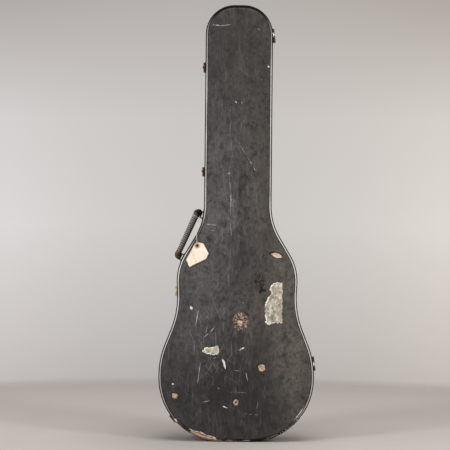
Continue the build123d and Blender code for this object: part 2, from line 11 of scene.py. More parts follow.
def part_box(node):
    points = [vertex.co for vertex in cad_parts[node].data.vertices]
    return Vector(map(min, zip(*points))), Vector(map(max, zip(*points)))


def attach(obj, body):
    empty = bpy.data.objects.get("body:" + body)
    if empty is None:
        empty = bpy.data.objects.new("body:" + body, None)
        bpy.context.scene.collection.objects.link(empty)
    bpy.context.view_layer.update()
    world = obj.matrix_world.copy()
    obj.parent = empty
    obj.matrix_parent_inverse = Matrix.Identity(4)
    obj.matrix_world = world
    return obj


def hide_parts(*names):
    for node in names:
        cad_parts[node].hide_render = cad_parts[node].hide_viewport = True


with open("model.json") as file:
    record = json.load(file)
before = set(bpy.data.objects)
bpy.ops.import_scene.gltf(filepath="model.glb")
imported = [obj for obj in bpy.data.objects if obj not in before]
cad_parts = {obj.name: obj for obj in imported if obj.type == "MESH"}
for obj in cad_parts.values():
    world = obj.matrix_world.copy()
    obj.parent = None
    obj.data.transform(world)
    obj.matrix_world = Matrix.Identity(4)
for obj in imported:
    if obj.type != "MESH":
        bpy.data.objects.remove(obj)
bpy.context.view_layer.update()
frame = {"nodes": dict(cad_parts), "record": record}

# Worn guitar case standing on its tail. The CAD is in metres; marks and sections are in millimetres.
MM = 0.001
NODES = frame["nodes"]
RECORD = frame["record"]
COLOUR = {m["slot"]: tuple(m["base_color"]) for m in RECORD["materials"]}
FACE_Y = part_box("lid_edge_welt")[0].y
BACK_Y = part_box("base_edge_welt")[1].y

# ---- camera ----
CAMERA_AWAY = 4.0  # metres in front of the lid's face
view = bpy.data.cameras.new("camera")
view.sensor_width = 36.0
view.lens = 131.1
view.clip_end = 80.0
camera = bpy.data.objects.new("camera", view)
camera.location = (-0.0308, FACE_Y - CAMERA_AWAY, 0.5295)
camera.rotation_euler = (math.radians(90.0), math.radians(-0.54), 0.0)
bpy.context.collection.objects.link(camera)
bpy.context.scene.camera = camera
bpy.context.scene.view_settings.view_transform = "Standard"


# ---- materials ----
class Nodes:
    """Short calls for a node tree."""

    def __init__(self, tree):
        self.tree = tree

    def plug(self, socket, value):
        if isinstance(value, bpy.types.NodeSocket):
            self.tree.links.new(value, socket)
        elif isinstance(value, tuple) and len(value) == 3 and socket.type == "RGBA":
            socket.default_value = (*value, 1.0)
        else:
            socket.default_value = value

    def node(self, kind, **inputs):
        """A new node with these inputs set or linked; _ stands for a space in their names."""
        node = self.tree.nodes.new("ShaderNode" + kind)
        for name, value in inputs.items():
            self.plug(node.inputs[name.replace("_", " ")], value)
        return node

    def ramp(self, value, *stops):
        """Piecewise-linear ramp; each stop is (position, grey) or (position, colour)."""
        node = self.node("ValToRGB", Fac=value)
        elements = node.color_ramp.elements
        while len(elements) < len(stops):
            elements.new(0.5)
        for element, (position, colour) in zip(elements, stops):
            element.position = position
            element.color = (*colour, 1.0) if isinstance(colour, tuple) else (colour,) * 3 + (1.0,)
        return node.outputs["Color"]

    def rise(self, value, low, high):
        return self.ramp(value, (low, 0.0), (high, 1.0))

    def fall(self, value, low, high):
        return self.ramp(value, (low, 1.0), (high, 0.0))

    def mix(self, share, first, second, mode="MIX"):
        node = self.node("Mix")
        node.data_type = "RGBA"
        node.blend_type = mode
        for socket, value in ((0, share), (6, first), (7, second)):
            self.plug(node.inputs[socket], value)
        return node.outputs[2]

    def calc(self, operation, first, second=0.0):
        node = self.node("Math")
        node.operation = operation
        self.plug(node.inputs[0], first)
        self.plug(node.inputs[1], second)
        return node.outputs[0]

    def times(self, first, *others):
        for other in others:
            first = self.calc("MULTIPLY", first, other)
        return first

    def over(self, colour, layer, *shares):
        """A layer laid over a colour; it covers by the product of the shares."""
        return self.mix(self.times(*shares), colour, layer)


class Finish(Nodes):
    """A material under construction."""

    def __init__(self, name, **sockets):
        self.material = bpy.data.materials.new(name)
        self.material.use_nodes = True
        super().__init__(self.material.node_tree)
        self.shader = self.tree.nodes["Principled BSDF"]
        self.place = self.node("TexCoord").outputs["Object"]
        self.colour = self.normal = None
        for socket, value in sockets.items():
            self.plug(self.shader.inputs[socket.replace("_", " ")], value)

    def mapped(self, vector, **inputs):
        return self.node("Mapping", Vector=vector, **inputs).outputs["Vector"]

    def noise(self, size, detail=4.0, stretch=(1, 1, 1), shift=0.0, rough=0.6, twist=0.0):
        """Noise whose features are about `size` mm, and longer where stretch is below 1."""
        drawn = self.mapped(self.place, Scale=stretch, Location=(shift, shift * 0.7, shift * 1.3))
        node = self.node("TexNoise", Scale=1.0 / (size * MM), Detail=detail, Roughness=rough,
                         Distortion=twist, Vector=drawn)
        return node.outputs["Fac"]

    def hairlines(self, turn, shift):
        """Long fine lines that lean `turn` degrees from upright, as noise drawn out along them."""
        lean = self.mapped(self.place, Rotation=(0.0, math.radians(turn), 0.0))
        drawn = self.mapped(lean, Scale=(1.0, 1.0, 0.022), Location=(shift,) * 3)
        node = self.node("TexNoise", Scale=1.0 / (2.1 * MM), Detail=2.0, Vector=drawn)
        return self.rise(node.outputs["Fac"], 0.625, 0.69)

    def cells(self, size, feature):
        node = self.node("TexVoronoi", Scale=1.0 / (size * MM), Vector=self.place)
        node.feature = feature
        return node.outputs["Distance"]

    def mask(self, name):
        node = self.node("Attribute")
        node.attribute_name = name
        return node.outputs["Fac"]

    def broken(self, name, noise, share, low, high):
        """A mask whose border is broken up by noise."""
        return self.rise(self.calc("ADD", self.mask(name), self.times(noise, share)), low, high)

    def bump(self, height, distance, strength):
        """Fine relief, its distance in mm, over the relief so far."""
        node = self.node("Bump", Distance=distance * MM, Strength=strength, Height=height)
        if self.normal:
            self.plug(node.inputs["Normal"], self.normal)
        self.normal = node.outputs["Normal"]

    def base(self, noise, low, high, dark, pale):
        """Starts the colour with two tones, blended where the noise is between low and high."""
        self.colour = self.mix(self.rise(noise, low, high), dark, pale)

    def lay(self, layer, *shares):
        """Lays another colour over what is there so far."""
        self.colour = self.over(self.colour, layer, *shares)

    def done(self, rough, metal=0.0):
        inputs = {"Base Color": self.colour, "Roughness": rough, "Metallic": metal, "Normal": self.normal}
        for socket, value in inputs.items():
            self.plug(self.shader.inputs[socket], value)
        return self.material


def wood_colour(f, stretch, dark, pale):
    return f.mix(f.rise(f.noise(2.2, 6.0, stretch, 3.1, 0.7, 0.6), 0.35, 0.65), dark, pale)


def make_leatherette():
    """Black pebbled leatherette, scuffed and dusty, with light and shade also painted through its dust mask;
    its marks come from the mesh's own masks.
    """
    f = Finish("leatherette_worn_and_shaded", Specular_IOR_Level=0.36)
    broad = f.noise(130, 3.0, shift=1.0)
    patch = f.noise(27, 7.0, (1, 1, 0.75), 2.0, 0.68, 0.4)
    blotch = f.noise(8.5, 6.0, (1, 1, 0.8), 7.0, 0.72, 0.5)
    streak = f.noise(4.2, 6.0, (1, 1, 0.14), 3.0, 0.72)
    fine = f.noise(1.9, 4.0, (1, 1, 0.7), 4.0, 0.78)
    dust = f.mask("dust")
    # dust on the black, which also carries painted light and shade
    black = f.mix(f.rise(broad, 0.38, 0.62), (0.0150, 0.0147, 0.0166), (0.0186, 0.0162, 0.0148))
    # painted light: the warm mask tints the black cooler to the left and warmer to the right
    tint = f.mix(f.mask("warm"), (0.108, 0.105, 0.113), (0.120, 0.107, 0.095))
    dusty = f.times(f.calc("ADD", dust, 0.10), f.ramp(patch, (0.30, 0.40), (0.50, 0.95), (0.72, 1.0)),
                    f.times(f.ramp(blotch, (0.30, 0.30), (0.68, 1.0)), 1.75))
    f.colour = f.mix(f.calc("MINIMUM", dusty, 1.0), black, tint)
    # rubbed streaks, sunk blotches, specks and pits
    rub = f.calc("ADD", f.times(f.mask("rub"), 0.55), 0.10)
    f.lay((0.255, 0.245, 0.230), f.rise(streak, 0.52, 0.70), f.rise(patch, 0.38, 0.66), rub)
    f.lay((0.009, 0.008, 0.008), f.fall(blotch, 0.34, 0.47), f.ramp(patch, (0.36, 1.0), (0.60, 0.25)), 0.8)
    f.lay((0.27, 0.255, 0.235), f.rise(fine, 0.60, 0.72), f.ramp(blotch, (0.42, 0.08), (0.66, 0.5)),
          f.ramp(dust, (0.0, 0.30), (0.40, 1.0)))
    f.lay((0.008, 0.007, 0.007), f.fall(fine, 0.34, 0.45), 0.65)
    hair_patch, hair = f.rise(patch, 0.40, 0.58), f.mask("hair")
    for turn, shift, pale in ((4.0, 11.0, 0.34), (24.0, 12.0, 0.32), (-33.0, 13.0, 0.26), (58.0, 14.0, 0.20)):
        f.lay((pale, 0.97 * pale, 0.94 * pale), f.hairlines(turn, shift), hair_patch, hair)
    # stains, cracks and scuffs; the dark mask also holds a painted shadow round the tag's hole
    f.lay((0.105, 0.048, 0.026), f.mask("stain"), f.ramp(blotch, (0.35, 0.55), (0.6, 1.0)))
    f.lay((0.0045, 0.004, 0.004), f.broken("dark", fine, 0.3, 0.45, 0.62))
    net = f.fall(f.cells(6.4, "DISTANCE_TO_EDGE"), 0.05, 0.15)
    f.lay((0.004, 0.0035, 0.0035), net, f.mask("craze"))
    f.lay((0.82, 0.80, 0.77), f.broken("pale", fine, 0.50, 0.36, 0.86))
    # wood where the covering is torn off
    wood = wood_colour(f, (0.5, 1, 1), (0.56, 0.40, 0.25), (0.88, 0.80, 0.68))
    grime = f.ramp(f.noise(4.5, 4.0, shift=9.0), (0.42, 0.22), (0.60, 0.85))
    wood = f.over(wood, (0.26, 0.17, 0.10), f.mask("soiled"), grime)
    raw_wood = wood_colour(f, (0.12, 1, 0.6), (0.13, 0.045, 0.03), (0.50, 0.27, 0.18))
    wood = f.over(wood, raw_wood, f.mask("raw"))
    wood = f.over(wood, (0.20, 0.105, 0.05), f.rise(fine, 0.52, 0.64), 0.75)
    f.lay(wood, f.rise(f.mask("bare"), 0.45, 0.55))
    f.bump(f.cells(0.9, "SMOOTH_F1"), 0.10, 0.6)
    f.bump(f.noise(0.5, 3.0), 0.05, 0.5)
    f.bump(blotch, 0.45, 0.5)
    f.bump(streak, 0.12, 0.35)
    return f.done(f.ramp(f.calc("ADD", patch, f.mask("bare")), (0.3, 0.46), (0.7, 0.62), (1.0, 0.85)))


def make_edge():
    """The covering where it rolls over the edge: black with a pale crown, partly rubbed wear and partly a
    painted highlight.
    """
    f = Finish("edge_roll_wear_and_highlight", Specular_IOR_Level=0.07)
    fray = f.noise(4.5, 6.0, shift=5.0, rough=0.7)
    soft = f.noise(40, 3.0, shift=6.0)
    f.base(soft, 0.4, 0.6, (0.006, 0.0055, 0.0055), (0.012, 0.010, 0.009))
    # the crown's pale line: partly rubbed wear, partly a painted highlight
    f.lay((0.94, 0.93, 0.91), f.mask("crown"), f.ramp(fray, (0.26, 0.55), (0.48, 1.0)))
    f.lay((0.30, 0.17, 0.08), f.mask("brown"), f.rise(fray, 0.42, 0.56))
    wood = wood_colour(f, (0.25, 1, 0.6), (0.12, 0.04, 0.025), (0.46, 0.24, 0.16))
    f.lay(wood, f.broken("bare", fray, 0.25, 0.50, 0.60))
    fringe = f.mask("fringe")
    threads = f.calc("ADD", fringe, f.times(f.calc("SUBTRACT", fray, 0.5), 2.4))
    f.lay((0.80, 0.73, 0.60), f.rise(threads, 0.62, 0.74), f.rise(fringe, 0.05, 0.2))
    f.bump(f.noise(0.7, 4.0), 0.08, 0.5)
    f.bump(fray, 0.35, 0.5)
    return f.done(f.ramp(fray, (0.3, 0.58), (0.7, 0.75)))


def make_plywood():
    """Edges of bent plywood, with its plies showing as darker lines."""
    f = Finish("plywood_edge")
    plies = f.rise(f.noise(2.0, 2.0, (0.02, 1, 0.02), 1.0), 0.42, 0.55)
    f.colour = wood_colour(f, (0.6, 1, 0.06), (0.30, 0.17, 0.085), (0.62, 0.44, 0.26))
    f.bump(f.noise(1.2, 5.0, (0.5, 1, 0.1)), 0.12, 0.5)
    f.lay((0.24, 0.13, 0.065), plies, 0.6)
    return f.done(f.ramp(f.noise(9, 3.0), (0.3, 0.55), (0.7, 0.75)))


def make_panel_wood():
    """Thin birch panel with upright grain, for the compartment and the boards."""
    f = Finish("birch_panel")
    grain = f.noise(3.2, 7.0, (1, 1, 0.05), 3.0, 0.65, 0.7)
    pores = f.noise(0.7, 4.0, (1, 1, 0.06), 5.0)
    f.base(grain, 0.36, 0.64, (0.36, 0.22, 0.12), (0.62, 0.45, 0.28))
    f.lay((0.22, 0.12, 0.06), f.rise(pores, 0.58, 0.70), 0.5)
    f.bump(pores, 0.10, 0.6)
    return f.done(f.ramp(grain, (0.3, 0.5), (0.7, 0.68)))


def make_plush():
    """Short-pile plush, crushed in patches."""
    f = Finish("plush_pile", Sheen_Weight=0.8, Sheen_Roughness=0.35, Specular_IOR_Level=0.15,
               Sheen_Tint=(1.0, 0.55, 0.50))
    red = COLOUR["plush"]
    crushed = f.rise(f.noise(24, 6.0, (1, 1, 0.7), 2.0, 0.66, 0.4), 0.32, 0.68)
    pile = f.noise(0.9, 4.0, (1, 1, 0.5), 1.0, 0.8)
    f.colour = f.mix(crushed, tuple(0.6 * c for c in red), red)
    f.lay(tuple(min(1.0, 1.8 * c + 0.01) for c in red), f.rise(pile, 0.45, 0.75), 0.5)
    f.bump(pile, 0.6, 0.7)
    f.bump(crushed, 0.7, 0.3)
    return f.done(f.ramp(pile, (0.3, 0.85), (0.7, 1.0)))


def make_ribbon():
    """Woven ribbon, with warp and weft as crossed threads."""
    f = Finish("ribbon_weave", Sheen_Weight=0.4)
    threads = f.calc("MAXIMUM", f.noise(0.5, 2.0, (1, 1, 0.05), 1.0), f.noise(0.5, 2.0, (0.05, 1, 1), 2.0))
    dark, pale = [tuple(share * c for c in COLOUR["ribbon"]) for share in (0.6, 1.7)]
    f.bump(threads, 0.15, 0.8)
    f.base(threads, 0.45, 0.65, dark, pale)
    return f.done(f.ramp(threads, (0.4, 0.6), (0.6, 0.45)))


def make_brass(name, dirt, dark, bright, gloss=0.27):
    """Old brass: bright where it is handled, brown to black in the rest; dirt is from 0 to 1."""
    f = Finish(name)
    cloud = f.noise(7, 6.0, shift=1.0, rough=0.7)
    spots = f.noise(1.3, 5.0, shift=2.0)
    f.base(cloud, 0.22 + 0.3 * dirt, 0.46 + 0.3 * dirt, dark, bright)
    f.lay((0.045, 0.030, 0.022), f.ramp(spots, (0.66 - 0.2 * dirt, 0.0), (0.78 - 0.2 * dirt, 0.85)))
    f.bump(spots, 0.06, 0.6)
    f.bump(f.noise(0.4, 3.0, (1, 0.06, 1)), 0.03, 0.4)
    rough = f.ramp(cloud, (0.3, gloss + 0.28), (0.7, gloss))
    return f.done(rough, f.ramp(spots, (0.5, 0.95), (0.7, 0.6)))


def make_steel():
    f = Finish("steel_dull")
    rust = f.rise(f.noise(3.0, 6.0, shift=2.0), 0.52, 0.68)
    f.bump(f.noise(0.5, 4.0), 0.05, 0.5)
    f.colour = COLOUR["steel"]
    f.lay((0.20, 0.085, 0.035), rust)
    return f.done(f.ramp(f.noise(4, 4.0), (0.3, 0.30), (0.7, 0.55)), f.calc("SUBTRACT", 1.0, rust))


def make_handle_leather():
    """Dark leather, worn pale on its ribs."""
    f = Finish("handle_leather_worn")
    broad = f.noise(14, 4.0, shift=1.0)
    crease = f.noise(1.5, 5.0, (1, 0.35, 1), 2.0, 0.7)
    f.base(broad, 0.35, 0.65, (0.014, 0.012, 0.010), (0.034, 0.028, 0.023))
    f.lay((0.58, 0.53, 0.47), f.mask("rib"), f.ramp(crease, (0.35, 0.55), (0.6, 1.0)))
    f.lay((0.105, 0.062, 0.036), f.mask("brown"))
    f.lay((0.010, 0.009, 0.009), f.mask("knob"))
    f.bump(crease, 0.25, 0.6)
    f.bump(f.cells(0.8, "SMOOTH_F1"), 0.10, 0.5)
    return f.done(f.ramp(broad, (0.3, 0.38), (0.7, 0.58)))


def make_thread(name, colour):
    f = Finish(name, Sheen_Weight=0.2)
    twist = f.noise(0.5, 3.0, (1.0, 1.0, 0.35), 1.0)
    f.base(twist, 0.4, 0.6, tuple(0.62 * c for c in colour), colour)
    f.lay((0.42, 0.34, 0.26), f.ramp(f.noise(11, 3.0), (0.5, 0.0), (0.75, 0.4)))
    f.bump(twist, 0.25, 0.9)
    return f.done(f.ramp(twist, (0.3, 0.8), (0.7, 0.95)))


def make_paper():
    """Manila tag paper with faint folds and grime."""
    f = Finish("tag_paper")
    cloud = f.noise(22, 5.0, shift=1.0)
    fibre = f.noise(0.8, 5.0, (1, 1, 0.5), 2.0, 0.75)
    f.base(cloud, 0.35, 0.65, (0.93, 0.77, 0.60), (1.0, 0.93, 0.82))
    f.lay((0.72, 0.52, 0.35), f.rise(fibre, 0.55, 0.75), 0.3)
    f.lay((0.42, 0.24, 0.12), f.mask("grime"), f.ramp(cloud, (0.3, 0.5), (0.7, 1.0)))
    f.bump(fibre, 0.06, 0.5)
    return f.done(f.ramp(fibre, (0.3, 0.75), (0.7, 0.9)))


def make_clouded(name, cloud, dark, pale, mask, layer, relief, rough):
    """Two clouded tones, with a third where a mask says so."""
    f = Finish(name)
    cloud = f.noise(*cloud)
    f.bump(cloud, relief, 0.6)
    f.base(cloud, 0.4, 0.6, dark, pale)
    f.lay(layer, f.mask(mask))
    return f.done(f.ramp(cloud, (0.3, 0.6), (0.7, rough)))


def make_tape():
    """Old masking tape: cream, greyed and stained, with crazed glue and pale torn rims."""
    f = Finish("tape_aged")
    cloud = f.noise(12, 6.0, shift=4.0, rough=0.7, twist=0.6)
    craze = f.noise(7.5, 6.0, (1, 1, 0.7), 5.0, 0.66, 0.6)
    stain = f.noise(8, 4.0, (1.2, 1, 0.8), 9.0, 0.6, 1.0)
    f.base(cloud, 0.40, 0.58, (0.32, 0.30, 0.225), (0.60, 0.57, 0.455))
    f.lay((0.42, 0.28, 0.22), f.rise(stain, 0.54, 0.66), 0.7)
    f.lay((0.085, 0.078, 0.060), f.rise(craze, 0.52, 0.64), 0.75)
    f.lay((0.90, 0.86, 0.78), f.fall(craze, 0.38, 0.46), 0.7)
    f.lay((0.96, 0.93, 0.88), f.mask("torn"))
    f.bump(craze, 0.25, 0.7)
    f.bump(cloud, 0.5, 0.4)
    return f.done(f.ramp(craze, (0.3, 0.5), (0.7, 0.75)))


def make_floor():
    """Pale studio floor that fades out at its rim, with a painted shadow round the case's foot."""
    f = Finish("studio_floor", Specular_IOR_Level=0.2)
    cloud = f.noise(400, 3.0)
    f.base(cloud, 0.3, 0.7, (0.625, 0.600, 0.580), (0.660, 0.632, 0.605))
    # painted shadow round the case's foot
    f.lay((0.33, 0.315, 0.30), f.mask("shade"), 0.42)
    f.bump(f.noise(3.0, 3.0), 0.2, 0.2)
    material = f.done(f.ramp(cloud, (0.3, 0.75), (0.7, 0.85)))
    blend = f.node("MixShader", Fac=f.rise(f.mask("fade"), 0.0, 1.0))
    f.plug(blend.inputs[1], f.shader.outputs[0])
    f.plug(blend.inputs[2], f.node("BsdfTransparent").outputs[0])
    f.plug(f.tree.nodes["Material Output"].inputs["Surface"], blend.outputs[0])
    return material


LEATHERETTE = make_leatherette()
EDGE = make_edge()
PANEL_WOOD = make_panel_wood()
PLUSH = make_plush()
RIBBON = make_ribbon()
BRASS = make_brass("brass_tarnished", 0.9, (0.10, 0.060, 0.032), (0.42, 0.29, 0.15))
BRASS_DARK = make_brass("brass_blackened", 1.0, (0.035, 0.025, 0.018), (0.16, 0.105, 0.06), 0.35)
BRASS_BRIGHT = make_brass("brass_handled", 0.35, (0.46, 0.34, 0.20), (0.80, 0.69, 0.48))
STUD = make_brass("stud_polished", 0.1, (0.66, 0.63, 0.58), (0.92, 0.90, 0.86), 0.14)
HANDLE_LEATHER = make_handle_leather()
STRING = make_thread("string_cotton", (0.86, 0.83, 0.77))
STITCH = make_thread("stitch_thread", (0.30, 0.27, 0.23))
# near-black string for the knot in the tag's hole, painted as the hole's shade
STRING_HOLE_SHADE = make_thread("string_hole_shade", (0.055, 0.032, 0.020))
PAPER = make_paper()
# the ring's deep mask paints shade: its inner rows are dark as painted shade in the hole
RING_PAPER = make_clouded("ring_fibre", (1.8, 5.0), (0.46, 0.22, 0.095), (0.74, 0.44, 0.22),
                          "deep", (0.030, 0.014, 0.008), 0.10, 0.8)
TAPE = make_tape()
RESIDUE = make_clouded("residue_flakes", (2.4, 5.0, (1, 1, 1), 2.0), (0.10, 0.052, 0.036),
                       (0.40, 0.275, 0.215), "cream", (0.86, 0.74, 0.58), 0.15, 0.85)
SLOT_FINISH = {"leatherette": LEATHERETTE, "edge_welt": EDGE, "plywood": make_plywood(), "plush": PLUSH,
               "ribbon": RIBBON, "aged_brass": BRASS, "steel": make_steel(), "handle_leather": HANDLE_LEATHER,
               "paper": PAPER, "tag_ring": RING_PAPER, "string": STRING}
for part in RECORD["subparts"]:
    shown = NODES[part["node"]]
    shown.data.materials.clear()
    finish = SLOT_FINISH[part["material_slot"]]
    if part["node"] in ("accessory_tray", "lid_board", "base_board"):
        finish = PANEL_WOOD
    if finish is BRASS:
        if part["node"].startswith("handle_"):
            finish = BRASS_DARK
        elif part["node"].startswith("latch_waist"):
            finish = BRASS_BRIGHT
        elif part["node"].endswith("side_glides"):
            finish = STUD
    shown.data.materials.append(finish)


# ---- the tag's string ----
STRING_D = 0.0012
# from the handle's upper end, round the case's edge and down to the tag's hole, in metres
STRING_ROUTE = [
    (-0.0938, -0.0105, 0.5505),
    (-0.0940, -0.0225, 0.5470),
    (-0.0950, -0.0380, 0.5400),
    (-0.0974, -0.0540, 0.5290),
    (-0.0998, -0.0630, 0.5140),
    (-0.0996, -0.0642, 0.4975),
    (-0.0985, -0.0606, 0.4820),
]


def string_curve(name, points, body, material=STRING):
    """Smooth cotton string with the given control points."""
    curve = bpy.data.curves.new(name, "CURVE")
    curve.dimensions = "3D"
    curve.bevel_depth = STRING_D / 2.0
    curve.bevel_resolution = 4
    spline = curve.splines.new("NURBS")
    spline.points.add(len(points) - 1)
    for point, place in zip(spline.points, points):
        point.co = (*place, 1.0)
    spline.order_u = 3
    spline.use_endpoint_u = True
    spline.resolution_u = 10
    curve.materials.append(material)
    piece = bpy.data.objects.new(name, curve)
    bpy.context.collection.objects.link(piece)
    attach(piece, body)
    return piece


string = string_curve("tag_string_cotton", STRING_ROUTE, "lid")
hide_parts("tag_string")


# ---- meshes ----
def add_piece(name, verts, faces, material, body, masks=None, smooth=True, close=True):
    """A new mesh piece that rides on a body, with one vertex mask for each entry of masks."""
    mesh = bpy.data.meshes.new(name)
    mesh.from_pydata([tuple(v) for v in verts], [], faces)
    if close:
        tidy = bmesh.new()
        tidy.from_mesh(mesh)
        bmesh.ops.recalc_face_normals(tidy, faces=tidy.faces)
        tidy.to_mesh(mesh)
        tidy.free()
    for mask, values in (masks or {}).items():
        layer = mesh.attributes.new(mask, "FLOAT", "POINT")
        layer.data.foreach_set("value", np.asarray(values, np.float32))
    mesh.polygons.foreach_set("use_smooth", np.full(len(mesh.polygons), smooth))
    mesh.materials.append(material)
    mesh.update()
    piece = bpy.data.objects.new(name, mesh)
    bpy.context.collection.objects.link(piece)
    if body:
        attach(piece, body)
    return piece


def sharpen(piece, degrees):
    """Keeps edges sharper than an angle crisp under smooth shading."""
    piece.data.set_sharp_from_angle(angle=math.radians(degrees))


def rim(node, front=True):
    """The longest edge loop round a CAD node's flat front or back, as (x, z) in metres."""
    mesh = bmesh.new()
    mesh.from_mesh(NODES[node].data)
    bmesh.ops.remove_doubles(mesh, verts=mesh.verts, dist=1e-6)
    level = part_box(node)[0 if front else 1].y
    flat = {f for f in mesh.faces if all(abs(v.co.y - level) < 1e-6 for v in f.verts)}
    around = {}
    for edge in mesh.edges:
        if sum(f in flat for f in edge.link_faces) == 1:
            first, second = edge.verts
            around.setdefault(first, []).append(second)
            around.setdefault(second, []).append(first)
    loops, seen = [], set()
    for start in around:
        if start in seen:
            continue
        loop, last, here = [start], None, start
        while True:
            seen.add(here)
            onward = [v for v in around[here] if v is not last]
            last, here = here, onward[0]
            if here is start:
                break
            loop.append(here)
        loops.append(np.array([(v.co.x, v.co.z) for v in loop]))
    mesh.free()
    return max(loops, key=lambda l: np.abs(np.diff(l, axis=0)).sum())


def resampled(loop, step):
    """Closed loop with even spacing, anticlockwise."""
    closed = np.vstack([loop, loop[:1]])
    if np.sum(closed[:-1, 0] * closed[1:, 1] - closed[1:, 0] * closed[:-1, 1]) < 0:
        closed = closed[::-1]
    run = np.concatenate([[0], np.cumsum(np.linalg.norm(np.diff(closed, axis=0), axis=1))])
    places = np.linspace(0, run[-1], max(8, int(run[-1] / step)), endpoint=False)
    return np.stack([np.interp(places, run, closed[:, k]) for k in (0, 1)], axis=1)


def outward(loop, spread=4):
    """Unit normals of an anticlockwise loop, pointing out of it."""
    along = sum(np.roll(loop, -k, 0) - np.roll(loop, k, 0) for k in range(1, spread + 1))
    normal = np.stack([along[:, 1], -along[:, 0]], axis=1)
    return normal / np.linalg.norm(normal, axis=1)[:, None]


def ease(low, high, value):
    """From 0 at low to 1 at high, with a soft start and end; low may be the greater."""
    share = np.clip((value - low) / (high - low), 0.0, 1.0)
    return share * share * (3.0 - 2.0 * share)


def field(x, z, cell, seed):
    """Smooth random field from -1 to 1; cell is one size or (across, along)."""
    across, along = cell if isinstance(cell, tuple) else (cell, cell)
    table = np.random.default_rng(seed).uniform(-1.0, 1.0, (128, 128))
    u, v = np.asarray(x) / across + 200.0, np.asarray(z) / along + 200.0
    i, j = np.floor(u).astype(int), np.floor(v).astype(int)
    s, t = ease(0, 1, u - i), ease(0, 1, v - j)

    def row(b):
        return table[i % 128, b % 128] * (1 - s) + table[(i + 1) % 128, b % 128] * s

    return row(j) * (1 - t) + row(j + 1) * t


def inside(points, loop):
    """Which points lie in a closed loop."""
    x, z = points[:, 0], points[:, 1]
    result = np.zeros(len(points), bool)
    for (x0, z0), (x1, z1) in zip(loop, np.roll(loop, -1, 0)):
        if z0 != z1:
            crosses = (z0 > z) != (z1 > z)
            result ^= crosses & (x < (x1 - x0) * (z - z0) / (z1 - z0) + x0)
    return result


def gap_to(points, others):
    """Distance from each point to the nearest of the others."""
    tree = kdtree.KDTree(len(others))
    for k, (x, z) in enumerate(others):
        tree.insert((x, z, 0.0), k)
    tree.balance()
    return np.array([tree.find((x, z, 0.0))[2] for x, z in points])


def filled(loop, spacing, extra=None, hole=None):
    """Triangles over a closed loop: its own points first, then a jittered grid and extra points."""
    low, high = loop.min(0), loop.max(0)
    grid = np.stack(np.meshgrid(np.arange(low[0], high[0], spacing),
                                np.arange(low[1], high[1], spacing * 0.9)), -1).reshape(-1, 2)
    grid = grid + np.random.default_rng(1).uniform(-0.28, 0.28, grid.shape) * spacing
    grid = grid[inside(grid, loop)]
    grid = grid[gap_to(grid, loop) > 0.6 * spacing]
    if extra is not None:
        extra = extra[inside(extra, loop)]
        extra = extra[gap_to(extra, loop) > 0.6 * MM]
        grid = grid[gap_to(grid, extra) > 0.55 * spacing]
        grid = np.vstack([extra, grid])
    rims = [loop]
    if hole is not None:
        grid = grid[~inside(grid, hole)]
        grid = grid[gap_to(grid, hole) > 0.4 * spacing]
        rims.append(hole)
    points = np.vstack([*rims, grid])
    edges, start = [], 0
    for ring in rims:
        edges += [(start + k, start + (k + 1) % len(ring)) for k in range(len(ring))]
        start += len(ring)
    found = delaunay_2d_cdt([Vector(p) for p in points], edges, [], 0, 1e-9)
    faces = np.array(found[2])
    middle = np.array([tuple(p) for p in found[0]])[faces].mean(1)
    keep = inside(middle, loop)
    if hole is not None:
        keep &= ~inside(middle, hole)
    origin = np.array([made_from[0] if made_from else -1 for made_from in found[3]])
    return points, origin[faces[keep]].tolist()


def ring_faces(rings, count, start=0, closed=False):
    """Quads between rings of count points; closed joins the last ring to the first."""
    faces = []
    for r in range(rings if closed else rings - 1):
        here, after = start + r * count, start + (r + 1) % rings * count
        for k in range(count):
            beside = (k + 1) % count
            faces.append((here + k, here + beside, after + beside, after + k))
    return faces


def capped_faces(rings, count, start=0):
    """The same for an open row of rings, with both its ends closed."""
    last = start + (rings - 1) * count
    return ring_faces(rings, count, start) + [tuple(range(start + count - 1, start - 1, -1)),
                                              tuple(range(last, last + count))]


def at_depth(flat, y):
    """Points (x, z) placed at one depth or at a depth each."""
    return np.stack([flat[:, 0], np.broadcast_to(y, len(flat)), flat[:, 1]], axis=1)


def panel(name, loop, outer_y, inner_y, spacing, shape, material, body, extra=None):
    """Closed plate in the face's plane: a modelled outer side, and a flat inner one.

    shape(x, z, edge) takes millimetres and returns how far each point stands out, in
    millimetres, and the masks.
    """
    points, faces = filled(loop, spacing, extra)
    count, n = len(points), len(loop)
    sign = 1.0 if outer_y > inner_y else -1.0
    height, masks = shape(points[:, 0] / MM, points[:, 1] / MM, gap_to(points, loop) / MM)
    faces += [(k, (k + 1) % n, count + (k + 1) % n, count + k) for k in range(n)]
    faces.append(tuple(range(count + n - 1, count - 1, -1)))
    masks = {k: np.concatenate([v, v[:n]]) for k, v in masks.items()}
    verts = np.vstack([at_depth(points, outer_y + sign * height * MM), at_depth(loop, inner_y)])
    return add_piece(name, verts, faces, material, body, masks)


def paper_sheet(name, loop, hole, outer_y, thick, spacing, shape, material, body):
    """A sheet of paper with a hole, its back a thickness behind its front all over."""
    points, faces = filled(loop, spacing, hole=hole)
    count = len(points)
    height, masks = shape(points[:, 0] / MM, points[:, 1] / MM, gap_to(points, loop) / MM)
    faces += [[v + count for v in face[::-1]] for face in faces]
    for first, last in ((0, len(loop)), (len(loop), len(loop) + len(hole))):
        ring = list(range(first, last))
        faces += [(a, b, b + count, a + count) for a, b in zip(ring, ring[1:] + ring[:1])]
    front = outer_y - height * MM
    return add_piece(name, np.vstack([at_depth(points, front), at_depth(points, front + thick)]), faces,
                     material, body, {k: np.tile(v, 2) for k, v in masks.items()})


